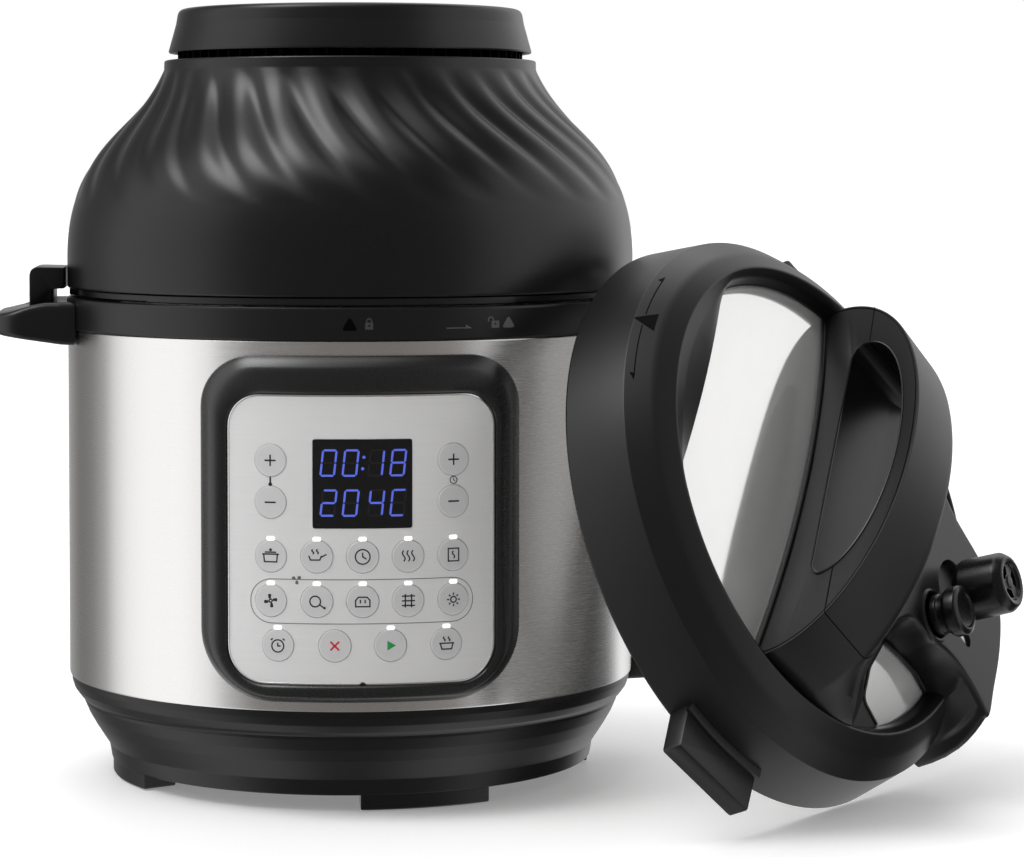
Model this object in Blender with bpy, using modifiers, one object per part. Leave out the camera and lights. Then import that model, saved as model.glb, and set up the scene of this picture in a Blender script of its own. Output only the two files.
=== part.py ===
"""Electric pressure cooker: base with inner pot, air-fryer lid fitted on top, and the
pressure lid leaning against the right handle. Metres, +Z up, control panel facing -Y.
The origin is under the middle of the whole set, on the surface that it stands on."""

import math

import bmesh
import bpy
from mathutils import Euler, Matrix, Vector

# Places of the two halves of the set
BASE_AXIS = Vector((-0.0824, 0.0284, 0.0))
LID_CENTRE = Vector((0.2070, -0.0969, 0.1428))  # from the base axis to the middle of the lid's lower rim
LID_LEAN = math.radians(69.0)  # tilt of the lid's axis from upright
LID_FACING = math.radians(-40.8)  # compass direction that the lid's top faces
LID_SPIN = math.radians(-45.0)  # turn of the lid about its own axis

# Driving dimensions of the base
SHELL_R = 0.1545
SHELL_THICKNESS = 0.0008
SHELL_Z = (0.0556, 0.2434)
COLLAR_R = 0.1552
COLLAR_Z = (0.2437, 0.2606)
GAP = 0.0003
POT_R = 0.1160
POT_WALL = 0.0010
POT_RIM_R = 0.1250
POT_Z = (0.0620, 0.2495)
FLOOR_Z = (0.0085, 0.0115)
PLINTH_R = (0.1120, 0.1313)
PLINTH_ARC = math.radians(31.0)
PLINTH_FIRST = math.radians(-74.5)
FOOT_R = 0.0055
FOOT_HEIGHT = 0.0028
FOOT_RING_R = 0.1215

# Control panel, wrapped round the shell
BEZEL_R = (0.1549, 0.1618)
FACE_R = (0.1580, 0.1594)
BEZEL_Z = (0.0607, 0.2363)
BEZEL_HALF = 0.0814
FACE_Z = (0.0701, 0.2168)
FACE_HALF = 0.0678
DISPLAY_Z = (0.1496, 0.1944)
DISPLAY_HALF = 0.0250
KEY_R = 0.0082
KEY_FACE_R = 0.1598
KEY_DEPTH = 0.0026
KEY_CLEARANCE = 0.0003
KEY_PITCH = 0.0231
KEYS = {
    "key_temp_up": (-0.0463, 0.1836),
    "key_temp_down": (-0.0463, 0.1624),
    "key_time_up": (0.0463, 0.1836),
    "key_time_down": (0.0463, 0.1624),
    "key_pressure_cook": (-2 * KEY_PITCH, 0.1352),
    "key_saute": (-KEY_PITCH, 0.1352),
    "key_slow_cook": (0.0, 0.1352),
    "key_steam": (KEY_PITCH, 0.1352),
    "key_sous_vide": (2 * KEY_PITCH, 0.1352),
    "key_air_fry": (-2 * KEY_PITCH, 0.1126),
    "key_roast": (-KEY_PITCH, 0.1126),
    "key_bake": (0.0, 0.1126),
    "key_grill": (KEY_PITCH, 0.1126),
    "key_dehydrate": (2 * KEY_PITCH, 0.1126),
    "key_delay_start": (-0.0427, 0.0901),
    "key_cancel": (-0.0141, 0.0901),
    "key_start": (0.0141, 0.0901),
    "key_keep_warm": (0.0427, 0.0901),
}

# Side handles and the air-fryer lid's plug
HANDLE_REACH = 0.1930
HANDLE_HALF = 0.0460
HANDLE_TOP = (0.2586, 0.2530)
HANDLE_BOTTOM = (0.2360, 0.2415)
PLUG_R = (0.1556, 0.1744)
PLUG_LEG_R = 0.1617
PLUG_HALF = 0.0225
PLUG_Z = (0.2470, 0.2655, 0.2772)

# Air-fryer lid
DOME_TOP = (0.1003, 0.3885)
DOME_PULL_TOP = (0.1148, 0.3460)
DOME_PULL_FOOT = (0.1556, 0.3442)
DOME_FOOT = (0.1548, 0.2790)
DOME_EDGE_Z = 0.2656
DOME_WALL = 0.0025
CAP_R = (0.0938, 0.0993)
CAP_Z = (0.3928, 0.4170)
AIR_RING_Z = (0.2612, 0.2653)

# Pressure lid, in its own frame: +Z out of its top, front at -Y, tabs at -X and +X
SKIRT_R = 0.1524
RIM = (0.1463, 0.0325)
CREST = (0.1270, 0.0500)
LIP = (0.1190, 0.0478)
PLATE_R = 0.1235
PLATE_Z = 0.0505
PLATE_DROP = 0.0115
FRONT_CHORD = 0.0970
TAB = (0.0570, 0.0240, 0.0115)
ARCH_HALF = 0.1220
ARCH_Z = (0.0460, 0.0720)
ARCH_FRONT = -0.0200
ARCH_BACK = 0.0200
ARCH_FLARE = 0.0370
FOOT_TOP = 0.0500
FINGER_HALF = 0.0810
FINGER_Z = (0.0665, 0.1080)
TRAY_Z = 0.0665
TRAY_TILT = math.radians(8.0)
TRAY_NEAR = (0.0300, 0.0340)
TRAY_FAR = (0.0550, 0.1500)
STEAM_VALVE = Vector((-0.0020, 0.0970, 0.0))
RELEASE = Vector((0.0270, 0.0800, 0.0))
FLOAT_VALVE = Vector((0.0140, 0.1100, 0.0))

OUTER_STEPS = 40
INNER_STEPS = 28

for leftover in list(bpy.data.objects):
    bpy.data.objects.remove(leftover)

parts = bpy.data.collections.new("electric_pressure_cooker")
tools = bpy.data.collections.new("cutters")
bpy.context.scene.collection.children.link(parts)
bpy.context.scene.collection.children.link(tools)


def finish(name, colour, roughness, metallic=0.0):
    material = bpy.data.materials.new(name)
    material.use_nodes = True
    shader = material.node_tree.nodes["Principled BSDF"]
    shader.inputs["Base Color"].default_value = (*colour, 1.0)
    shader.inputs["Roughness"].default_value = roughness
    shader.inputs["Metallic"].default_value = metallic
    material.diffuse_color = (*colour, 1.0)
    return material


BLACK = finish("black_plastic", (0.018, 0.018, 0.019), 0.42)
GREY = finish("panel_silver", (0.66, 0.66, 0.67), 0.35, 0.6)
KEY_GREY = finish("key_grey", (0.55, 0.55, 0.56), 0.45)
STEEL = finish("brushed_steel", (0.62, 0.60, 0.58), 0.32, 1.0)
POLISHED = finish("polished_steel", (0.80, 0.79, 0.77), 0.08, 1.0)
ALUMINIUM = finish("aluminium", (0.70, 0.70, 0.71), 0.40, 1.0)
GLASS = finish("display_glass", (0.010, 0.012, 0.030), 0.10)
SILICONE = finish("silicone", (0.62, 0.62, 0.60), 0.60)
BOARD = finish("circuit_board", (0.03, 0.16, 0.07), 0.55)
RUBBER = finish("rubber", (0.03, 0.03, 0.03), 0.80)


def empty(name, parent, location, rotation=(0.0, 0.0, 0.0)):
    obj = bpy.data.objects.new(name, None)
    parts.objects.link(obj)
    obj.parent = parent
    obj.location = location
    obj.rotation_euler = rotation
    return obj


def place(name, mesh, parent, material):
    """A part, or, with no material, a helper that only cuts or joins."""
    obj = bpy.data.objects.new(name, mesh)
    obj.parent = parent
    if material is None:
        tools.objects.link(obj)
        obj.hide_render = True
        obj.display_type = "WIRE"
    else:
        parts.objects.link(obj)
        mesh.materials.append(material)
    return obj


def turned(name, profile, parent, material, steps=OUTER_STEPS, closed=True):
    """A (radius, height) profile turned about Z: down its outer side, and, if open, ending on the axis."""
    mesh = bpy.data.meshes.new(name)
    count = len(profile)
    edges = [(i, (i + 1) % count) for i in range(count if closed else count - 1)]
    mesh.from_pydata([(r, 0.0, z) for r, z in profile], edges, [])
    obj = place(name, mesh, parent, material)
    screw = obj.modifiers.new("Turn", "SCREW")
    screw.steps = steps
    screw.render_steps = steps
    screw.use_merge_vertices = True
    screw.merge_threshold = 0.0001
    return obj


def prism(name, outlines, low, high, parent, material):
    """Flat outlines in XY, with any inner ones as holes, extruded from low to high."""
    curve = bpy.data.curves.new(name, "CURVE")
    curve.dimensions = "2D"
    curve.fill_mode = "BOTH"
    curve.extrude = (high - low) / 2
    for outline in outlines:
        spline = curve.splines.new("POLY")
        spline.points.add(len(outline) - 1)
        for point, (x, y) in zip(spline.points, outline):
            point.co = (x, y, 0.0, 1.0)
        spline.use_cyclic_u = True
    guide = bpy.data.objects.new(name + "_outline", curve)
    tools.objects.link(guide)
    bpy.context.view_layer.update()
    graph = bpy.context.evaluated_depsgraph_get()
    mesh = bpy.data.meshes.new_from_object(guide.evaluated_get(graph))
    bpy.data.objects.remove(guide)
    shape = bmesh.new()
    shape.from_mesh(mesh)
    bmesh.ops.remove_doubles(shape, verts=shape.verts, dist=1e-6)
    bmesh.ops.translate(shape, verts=shape.verts, vec=(0.0, 0.0, (low + high) / 2))
    bmesh.ops.recalc_face_normals(shape, faces=shape.faces)
    shape.to_mesh(mesh)
    shape.free()
    return place(name, mesh, parent, material)


def tube(name, points, radius, parent, material, cyclic=False):
    curve = bpy.data.curves.new(name, "CURVE")
    curve.dimensions = "3D"
    curve.bevel_depth = radius
    curve.bevel_resolution = 1
    curve.use_fill_caps = True
    spline = curve.splines.new("POLY")
    spline.points.add(len(points) - 1)
    for point, place_at in zip(spline.points, points):
        point.co = (*place_at, 1.0)
    spline.use_cyclic_u = cyclic
    return place(name, curve, parent, material)


def rods(name, places, radius, low, high, parent, material, steps=20):
    """Cylinders along each place's own Z, from low to high, in one mesh."""
    shape = bmesh.new()
    for matrix in places:
        shift = Matrix.Translation((0.0, 0.0, (low + high) / 2))
        bmesh.ops.create_cone(
            shape,
            cap_ends=True,
            segments=steps,
            radius1=radius,
            radius2=radius,
            depth=high - low,
            matrix=matrix @ shift,
        )
    mesh = bpy.data.meshes.new(name)
    shape.to_mesh(mesh)
    shape.free()
    return place(name, mesh, parent, material)


def blocks(name, places, size, parent, material):
    """Boxes of one size, each centred on its place, in one mesh."""
    shape = bmesh.new()
    for matrix in places:
        bmesh.ops.create_cube(shape, size=1.0, matrix=matrix @ Matrix.Diagonal((*size, 1.0)))
    mesh = bpy.data.meshes.new(name)
    shape.to_mesh(mesh)
    shape.free()
    return place(name, mesh, parent, material)


def boolean(obj, other, operation):
    modifier = obj.modifiers.new(operation.title() + "_" + other.name, "BOOLEAN")
    modifier.operation = operation
    modifier.solver = "EXACT"
    modifier.object = other


def at(x, y, z, turn=0.0):
    return Matrix.Translation((x, y, z)) @ Matrix.Rotation(turn, 4, "Z")


def ring_of(count, first=0.0):
    return [first + math.tau * i / count for i in range(count)]


def arc(centre, radius, start, end, steps):
    angles = [start + (end - start) * i / steps for i in range(steps + 1)]
    return [(centre[0] + radius * math.cos(a), centre[1] + radius * math.sin(a)) for a in angles]


def rounded_box(half_x, low_y, high_y, top_radius, foot_radius, steps=6):
    """An upright rectangle with its own corner radius at the top and at the foot."""
    quarter = math.pi / 2
    corners = (
        (half_x - top_radius, high_y - top_radius, top_radius, 0.0),
        (top_radius - half_x, high_y - top_radius, top_radius, quarter),
        (foot_radius - half_x, low_y + foot_radius, foot_radius, 2 * quarter),
        (half_x - foot_radius, low_y + foot_radius, foot_radius, 3 * quarter),
    )
    outline = []
    for x, y, radius, start in corners:
        outline += arc((x, y), radius, start, start + quarter, steps)
    return outline


def sector(low_r, high_r, middle, spread, steps=6):
    outer = arc((0.0, 0.0), high_r, middle - spread / 2, middle + spread / 2, steps)
    inner = arc((0.0, 0.0), low_r, middle + spread / 2, middle - spread / 2, steps)
    return outer + inner


def bezier(a, b, c, d, steps):
    points = []
    for i in range(steps + 1):
        t = i / steps
        weights = ((1 - t) ** 3, 3 * (1 - t) ** 2 * t, 3 * (1 - t) * t**2, t**3)
        points.append(tuple(sum(w * p[k] for w, p in zip(weights, (a, b, c, d))) for k in (0, 1)))
    return points


def facing_front(obj):
    """Stands an XY outline up, so that its extrusion runs towards -Y."""
    obj.rotation_euler = (math.pi / 2, 0.0, 0.0)
    return obj


# Base


def bottom_housing(base):
    outer = [(0.1532, SHELL_Z[0] - GAP), (0.1520, 0.0480), (0.1472, 0.0422), (0.1465, 0.0402)]
    outer += [(0.1440, 0.0340), (0.1403, 0.0276), (0.1360, 0.0210), (0.1330, 0.0166), (0.1315, FLOOR_Z[0])]
    inner = [(0.1115, FLOOR_Z[0]), (0.1115, FLOOR_Z[1]), (0.1290, FLOOR_Z[1]), (0.1320, 0.0205)]
    inner += [(0.1420, 0.0390), (0.1490, 0.0480), (0.1500, SHELL_Z[0] - GAP)]
    housing = turned("bottom_housing", outer + inner, base, BLACK)
    middles = ring_of(4, PLINTH_FIRST)
    plinth_bottom = FOOT_HEIGHT - 0.0023
    plinths = prism(
        "plinths",
        [sector(*PLINTH_R, middle, PLINTH_ARC) for middle in middles],
        plinth_bottom,
        FLOOR_Z[1] - 0.0008,
        base,
        None,
    )
    boolean(housing, plinths, "UNION")
    feet = [at(FOOT_RING_R * math.cos(a), FOOT_RING_R * math.sin(a), 0.0) for a in middles]
    recesses = rods("foot_recesses", feet, FOOT_R + GAP, -0.001, FOOT_HEIGHT + GAP, base, None, 16)
    boolean(housing, recesses, "DIFFERENCE")
    for number, spot in enumerate(feet, 1):
        foot = rods(f"foot_{number}", [Matrix()], FOOT_R, 0.0, FOOT_HEIGHT, base, RUBBER, 16)
        foot.location = spot.translation
    return housing


def bottom_cover(base):
    profile = [(0.0, 0.0108), (0.1110, 0.0108), (0.1110, FLOOR_Z[0]), (0.0, FLOOR_Z[0])]
    cover = turned("bottom_cover", profile, base, BLACK, INNER_STEPS, closed=False)
    slots = prism(
        "vent_slots",
        [sector(0.060, 0.092, a, math.radians(5.0), 1) for a in ring_of(12)],
        0.0,
        0.02,
        base,
        None,
    )
    boolean(cover, slots, "DIFFERENCE")


def steel_shell(base):
    low, high = SHELL_Z
    inside = SHELL_R - SHELL_THICKNESS
    profile = [(SHELL_R, high), (SHELL_R, low), (inside, low), (inside, high)]
    shell = turned("steel_shell", profile, base, STEEL)
    outline = rounded_box(0.0600, 0.0780, 0.2080, 0.01, 0.01, 3)
    window = prism("shell_window", [outline], 0.1, 0.2, base, None)
    boolean(shell, facing_front(window), "DIFFERENCE")


def top_collar(base):
    low, high = COLLAR_Z
    profile = [(0.1545, high), (COLLAR_R, high - 0.0008), (COLLAR_R, low), (0.1310, low)]
    profile += [(0.1310, low + 0.0028), (0.1508, low + 0.0028), (0.1508, high)]
    collar = turned("top_collar", profile, base, BLACK)
    ledge = blocks("cup_ledge", [at(0.0, 0.1576, low + 0.0018)], (0.0680, 0.0128, 0.0036), base, None)
    boolean(collar, ledge, "UNION")


def locking_ring(base):
    low = COLLAR_Z[0] + 0.0031
    high = COLLAR_Z[1] - 0.0004
    profile = [(0.1372, high), (0.1372, low), (0.1352, low), (0.1352, high)]
    ring = turned("locking_ring", profile, base, STEEL, INNER_STEPS)
    lugs = prism(
        "bayonet_lugs",
        [sector(0.1290, 0.1362, a, math.radians(26.0), 2) for a in ring_of(8)],
        high - 0.0018,
        high - 0.0004,
        base,
        None,
    )
    boolean(ring, lugs, "UNION")


def chamber_liner(base):
    low, high = 0.0470, COLLAR_Z[0] + 0.0024
    profile = [(0.1304, high), (0.1304, high - 0.0014), (0.1200, high - 0.0014), (0.1200, low)]
    profile += [(0.0990, low), (0.0990, low + 0.0012), (0.1188, low + 0.0012), (0.1188, high)]
    turned("chamber_liner", profile, base, ALUMINIUM, INNER_STEPS)


def heating_plate(base):
    high = POT_Z[0] - GAP
    profile = [(0.0145, high), (0.0960, high), (0.0975, high - 0.0025), (0.0975, 0.0480), (0.0860, 0.0440)]
    profile += [(0.0145, 0.0440)]
    turned("heating_plate", profile, base, ALUMINIUM, INNER_STEPS)
    sensor = [(0.0, high), (0.0120, high), (0.0120, high - 0.0030), (0.0100, high - 0.0045)]
    sensor += [(0.0100, 0.0400), (0.0, 0.0400)]
    turned("temperature_sensor", sensor, base, ALUMINIUM, 20, closed=False)


def boards(base):
    blocks("power_board", [at(0.020, 0.035, 0.0260)], (0.110, 0.080, 0.0030), base, BOARD)
    board = [at(0.0, -0.1390, 0.1430)]
    blocks("control_board", board, (0.1000, 0.0020, 0.1200), base, BOARD)


def inner_pot(base):
    low, high = POT_Z
    inside = POT_R - POT_WALL
    foot = 0.0100
    profile = [(0.0, low + POT_WALL), (inside - foot, low + POT_WALL)]
    profile += [(inside - 0.0030, low + 0.0040), (inside, low + foot), (inside, high)]
    profile += [(POT_RIM_R, high), (POT_RIM_R, high - 0.0012), (POT_R, high - 0.0012), (POT_R, low + foot)]
    profile += [(POT_R - 0.0027, low + 0.0030), (POT_R - foot, low), (0.0, low)]
    turned("inner_pot", profile, base, STEEL, INNER_STEPS, closed=False)


def side_handle(name, base, side):
    """A lug with a socket for the air-fryer lid's plug. side is -1 for the left and 1 for the right."""
    reach = (0.1500, HANDLE_REACH)
    profile = [
        (side * reach[0], HANDLE_TOP[0]),
        (side * (reach[1] - 0.0300), HANDLE_TOP[0]),
        (side * (reach[1] - 0.0020), HANDLE_TOP[1]),
        (side * reach[1], HANDLE_TOP[1] - 0.0030),
        (side * reach[1], HANDLE_BOTTOM[1] + 0.0015),
        (side * (reach[1] - 0.0020), HANDLE_BOTTOM[1]),
        (side * reach[0], HANDLE_BOTTOM[0]),
    ]
    handle = prism(name, [profile], -HANDLE_HALF, HANDLE_HALF, base, BLACK)
    facing_front(handle)
    corner = 0.0160
    plan = [(side * 0.14, HANDLE_HALF), (side * 0.14, -HANDLE_HALF)]
    start = -math.pi / 2
    for y, first in ((-HANDLE_HALF + corner, start), (HANDLE_HALF - corner, 0.0)):
        for x, y_arc in arc((reach[1] - corner, y), corner, first, first + math.pi / 2, 5):
            plan.append((side * x, y_arc))
    boolean(handle, prism(name + "_plan", [plan], 0.20, 0.30, base, None), "INTERSECT")
    body = turned(
        name + "_seat",
        [(0.0, 0.30), (COLLAR_R + GAP, 0.30), (COLLAR_R + GAP, 0.20), (0.0, 0.20)],
        base,
        None,
        closed=False,
    )
    boolean(handle, body, "DIFFERENCE")
    middle = side * (PLUG_LEG_R + PLUG_R[1]) / 2
    width = PLUG_R[1] - PLUG_LEG_R + 0.0012
    depth = 0.0130
    socket = blocks(
        name + "_socket",
        [at(middle, 0.0, HANDLE_TOP[0])],
        (width, 2 * PLUG_HALF + 0.0012, 2 * depth),
        base,
        None,
    )
    boolean(handle, socket, "DIFFERENCE")


def wrapped(name, radii, outlines, base, material):
    """A sheet that follows the shell's curve, cut to the outlines as seen from the front."""
    low, high = BEZEL_Z[0] - 0.01, BEZEL_Z[1] + 0.01
    sheet = turned(
        name, [(radii[1], high), (radii[1], low), (radii[0], low), (radii[0], high)], base, material
    )
    outline = prism(name + "_cut", outlines, 0.10, 0.20, base, None)
    boolean(sheet, facing_front(outline), "INTERSECT")
    return sheet


def control_panel(base):
    bezel_hole = rounded_box(FACE_HALF + GAP, FACE_Z[0] - GAP, FACE_Z[1] + GAP, 0.0090, 0.0120)
    bezel = rounded_box(BEZEL_HALF, *BEZEL_Z, 0.0200, 0.0290)
    wrapped("panel_bezel", BEZEL_R, [bezel, bezel_hole], base, BLACK)
    display_hole = rounded_box(DISPLAY_HALF + GAP, DISPLAY_Z[0] - GAP, DISPLAY_Z[1] + GAP, 0.001, 0.001, 1)
    face = wrapped(
        "panel_face",
        FACE_R,
        [rounded_box(FACE_HALF, *FACE_Z, 0.0087, 0.0117), display_hole],
        base,
        GREY,
    )
    display = rounded_box(DISPLAY_HALF, *DISPLAY_Z, 0.001, 0.001, 1)
    wrapped("display_window", (FACE_R[0], FACE_R[1] + 0.0002), [display], base, GLASS)
    places = []
    for name, (x, z) in KEYS.items():
        turn = math.asin(x / KEY_FACE_R)
        spot = Matrix.Translation((KEY_FACE_R * math.sin(turn), -KEY_FACE_R * math.cos(turn), z))
        places.append(spot @ Euler((math.pi / 2, 0.0, turn)).to_matrix().to_4x4())
        key = rods(name, [Matrix()], KEY_R, -KEY_DEPTH, 0.0, base, KEY_GREY, 16)
        key.matrix_local = places[-1]
    holes = rods("key_holes", places, KEY_R + KEY_CLEARANCE, -0.006, 0.004, base, None, 16)
    boolean(face, holes, "DIFFERENCE")


def condensation_cup(base):
    """Catches drips behind the collar. It hangs just under the collar's ledge and pulls off backwards."""
    high = COLLAR_Z[0] - GAP
    outline = rounded_box(0.0300, 0.1566, 0.1790, 0.0080, 0.0010, 3)
    cup = prism("condensation_cup", [outline], 0.2000, high, base, BLACK)
    outline = rounded_box(0.0282, 0.1584, 0.1772, 0.0062, 0.0010, 3)
    pocket = prism("cup_pocket", [outline], 0.2018, high + 0.01, base, None)
    boolean(cup, pocket, "DIFFERENCE")


def power_inlet(base):
    """Socket housing low on the right, towards the rear."""
    turn = math.radians(15.0)
    inlet = blocks("power_inlet", [at(0.0, 0.0, 0.0)], (0.0240, 0.0400, 0.0125), base, BLACK)
    inlet.location = (0.1570 * math.cos(turn), 0.1570 * math.sin(turn), 0.0488)
    inlet.rotation_euler = (0.0, 0.0, turn)
    seat = turned(
        "inlet_seat",
        [(0.0, 0.07), (0.1548, 0.07), (0.1535, 0.0480), (0.1490, 0.0420), (0.1480, 0.03), (0.0, 0.03)],
        base,
        None,
        closed=False,
    )
    boolean(inlet, seat, "DIFFERENCE")
    socket = blocks("inlet_socket", [at(0.1680, 0.0, 0.0488)], (0.0160, 0.0260, 0.0085), base, None)
    socket.matrix_local = Matrix.Rotation(turn, 4, "Z")
    boolean(inlet, socket, "DIFFERENCE")


# Air-fryer lid


def air_fryer_lid(base):
    outer = bezier(DOME_TOP, DOME_PULL_TOP, DOME_PULL_FOOT, DOME_FOOT, 8)
    inside = bezier(DOME_TOP, DOME_PULL_TOP, DOME_PULL_FOOT, DOME_FOOT, 4)
    inner = [(r - DOME_WALL, z - 0.0015) for r, z in inside]
    profile = outer + [(DOME_FOOT[0], DOME_EDGE_Z), (DOME_FOOT[0] - DOME_WALL, DOME_EDGE_Z)]
    profile += inner[::-1][:-1] + [(0.0905, 0.3870), (0.0905, 0.3885)]
    turned("air_lid_dome", profile, base, BLACK)
    low, high = CAP_Z
    cap = [(0.0, high), (CAP_R[0] - 0.0035, high), (CAP_R[0], high - 0.0035), (CAP_R[1], low)]
    cap += [(CAP_R[1] - 0.0030, low), (CAP_R[0] - 0.0030, high - 0.0060), (0.0, high - 0.0060)]
    cap_body = turned("air_lid_cap", cap, base, BLACK, closed=False)
    posts = prism(
        "cap_posts",
        [sector(0.0900, 0.0950, a, math.radians(5.0), 1) for a in ring_of(12)],
        DOME_TOP[1] + GAP,
        low + 0.0040,
        base,
        None,
    )
    boolean(cap_body, posts, "UNION")
    low, high = AIR_RING_Z
    turned("air_lid_ring", [(0.1535, high), (0.1535, low), (0.1375, low), (0.1375, high)], base, BLACK)
    lid_plug(base)
    shield = [(0.1150, 0.3020), (0.1250, 0.2640), (0.1365, 0.2640), (0.1365, 0.2628), (0.1238, 0.2628)]
    shield += [(0.1140, 0.3008), (0.0070, 0.3008), (0.0070, 0.3020)]
    turned("heat_shield", shield, base, ALUMINIUM, INNER_STEPS)
    heating_element(base)
    element_guard(base)
    motor = [(0.0070, 0.3720), (0.0300, 0.3720), (0.0320, 0.3690), (0.0320, 0.3330), (0.0480, 0.3330)]
    motor += [(0.0480, 0.3300), (0.0070, 0.3300)]
    turned("fan_motor", motor, base, STEEL, 24)
    shaft = [(0.0, 0.3880), (0.0040, 0.3880), (0.0040, 0.2700), (0.0, 0.2700)]
    turned("motor_shaft", shaft, base, STEEL, 16, closed=False)
    fan("convection_fan", base, 0.2760, 0.0600, 0.0140, 9)
    fan("cooling_fan", base, 0.3755, 0.0560, 0.0090, 7)


def lid_plug(base):
    low, edge, high = PLUG_Z
    outline = [(-PLUG_R[0], high), (-PLUG_R[0], edge), (-PLUG_LEG_R, edge), (-PLUG_LEG_R, low)]
    outline += [(-PLUG_R[1], low)]
    outline += arc((-PLUG_R[1] + 0.0050, high - 0.0050), 0.0050, math.pi, math.pi / 2, 4)
    facing_front(prism("lid_plug", [outline[::-1]], -PLUG_HALF, PLUG_HALF, base, BLACK))


def heating_element(base):
    """A flat spiral rod with its two ends bent up towards the shield."""
    turns, steps, inner, outer, level = 1.75, 34, 0.0700, 0.1000, 0.2640
    points = [(inner, 0.0, level + 0.0300)]
    for i in range(steps + 1):
        angle = math.tau * turns * i / steps
        radius = inner + (outer - inner) * i / steps
        points.append((radius * math.cos(angle), radius * math.sin(angle), level))
    points.append((points[-1][0], points[-1][1], level + 0.0300))
    tube("heating_element", points, 0.0032, base, STEEL)


def element_guard(base):
    """A flat grille of hoops joined by bars, under the heating element."""
    low, high = 0.2535, 0.2550
    guard = turned(
        "element_guard",
        [(0.1180, high), (0.1180, low), (0.1120, low), (0.1120, high)],
        base,
        STEEL,
        INNER_STEPS,
    )
    hoops = []
    for radius in (0.0800, 0.0400):
        hoops += [arc((0.0, 0.0), r, 0.0, math.tau, 18)[:-1] for r in (radius, radius - 0.0030)]
    boolean(guard, prism("guard_hoops", hoops, low + 0.0001, high - 0.0001, base, None), "UNION")
    bars = [sector(0.0375, 0.1150, a, math.radians(2.4), 1) for a in ring_of(6)]
    boolean(guard, prism("guard_bars", bars, low + 0.0002, high - 0.0002, base, None), "UNION")


def fan(name, base, level, radius, height, blades):
    """A hub on the shaft with a back plate and upright blades."""
    bore = 0.0040 + GAP
    profile = [(0.0110, level + height), (0.0110, level + 0.0012), (radius - 0.004, level + 0.0012)]
    profile += [(radius - 0.004, level), (bore, level), (bore, level + height)]
    wheel = turned(name, profile, base, ALUMINIUM, 24)
    places = [
        Matrix.Rotation(a, 4, "Z") @ Matrix.Translation(((radius + 0.010) / 2, 0.0, level + height / 2))
        for a in ring_of(blades)
    ]
    vanes = blocks(name + "_blades", places, (radius - 0.012, 0.0012, height - 0.0002), base, None)
    boolean(wheel, vanes, "UNION")


# Pressure lid


def dome_height(radius, lift=0.0):
    """Height of the crowned steel plate's top at a radius."""
    return PLATE_Z + lift - PLATE_DROP * (radius / PLATE_R) ** 2


def lid_cavity(lid, name):
    """The space under the cover, up to just above the steel plate."""
    radii = (0.0, 0.0450, 0.0900, 0.1245)
    profile = [(r, dome_height(r, 0.0004)) for r in radii]
    profile += [(0.1275, 0.0445), (0.1432, 0.0300), (0.1496, -0.0050), (0.0, -0.0050)]
    return turned(name, profile, lid, None, closed=False)


def lid_cover(lid):
    profile = [LIP, CREST, RIM, (SKIRT_R, 0.0015), (SKIRT_R - 0.0010, 0.0), (0.1460, 0.0), (0.1400, 0.0250)]
    profile += [(0.1240, 0.0385), (LIP[0], 0.0385)]
    cover = turned("lid_cover", profile, lid, BLACK)
    half = math.acos(FRONT_CHORD / 0.1220)
    front = arc((0.0, 0.0), 0.1220, -math.pi / 2 - half, -math.pi / 2 + half, 10)
    boolean(cover, prism("front_lip", [front], 0.0430, LIP[1] - 0.0003, lid, None), "UNION")
    tray = prism("tray", [tray_outline()], 0.0120, 0.0800, lid, None)
    boolean(cover, tray, "UNION")
    slope = blocks("tray_slope", [Matrix()], (0.200, 0.240, 0.060), lid, None)
    tilt = Matrix.Rotation(-TRAY_TILT, 4, "X")
    slope.matrix_local = Matrix.Translation((0.0, 0.0970, TRAY_Z - 0.0014)) @ tilt @ at(0.0, 0.0, 0.0300)
    boolean(cover, slope, "DIFFERENCE")
    reach = SKIRT_R + TAB[1] / 2 - 0.0040
    spots = [at(x, 0.0, TAB[2] / 2 + 0.0008) for x in (-reach, reach)]
    tabs = blocks("tabs", spots, (TAB[1], TAB[0], TAB[2]), lid, None)
    boolean(cover, tabs, "UNION")
    boolean(cover, lid_cavity(lid, "lid_cavity"), "DIFFERENCE")
    for spot, radius in ((STEAM_VALVE, 0.0062), (RELEASE, 0.0086), (FLOAT_VALVE, 0.0044)):
        hole = rods("hole", [Matrix.Translation(spot)], radius, 0.030, 0.090, lid, None)
        boolean(cover, hole, "DIFFERENCE")


def tray_outline():
    near_half, near = TRAY_NEAR
    far_half, far = TRAY_FAR
    corner = 0.0120
    right = [(near_half, near)]
    right += arc((far_half - corner - 0.001, far - corner), corner, 0.0, math.pi / 2, 5)
    left = [(-x, y) for x, y in reversed(right)]
    return right + left


def lid_plate(lid):
    radii = (0.0, 0.0450, 0.0900, PLATE_R)
    top = [(r, dome_height(r)) for r in radii]
    bottom = [(r, dome_height(r, -0.0010)) for r in reversed(radii)]
    plate = turned("lid_plate", top + bottom, lid, POLISHED, closed=False)
    for spot, radius in ((STEAM_VALVE, 0.0062), (RELEASE, 0.0086), (FLOAT_VALVE, 0.0044)):
        hole = rods("hole", [Matrix.Translation(spot)], radius, 0.020, 0.090, lid, None)
        boolean(plate, hole, "DIFFERENCE")


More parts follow.
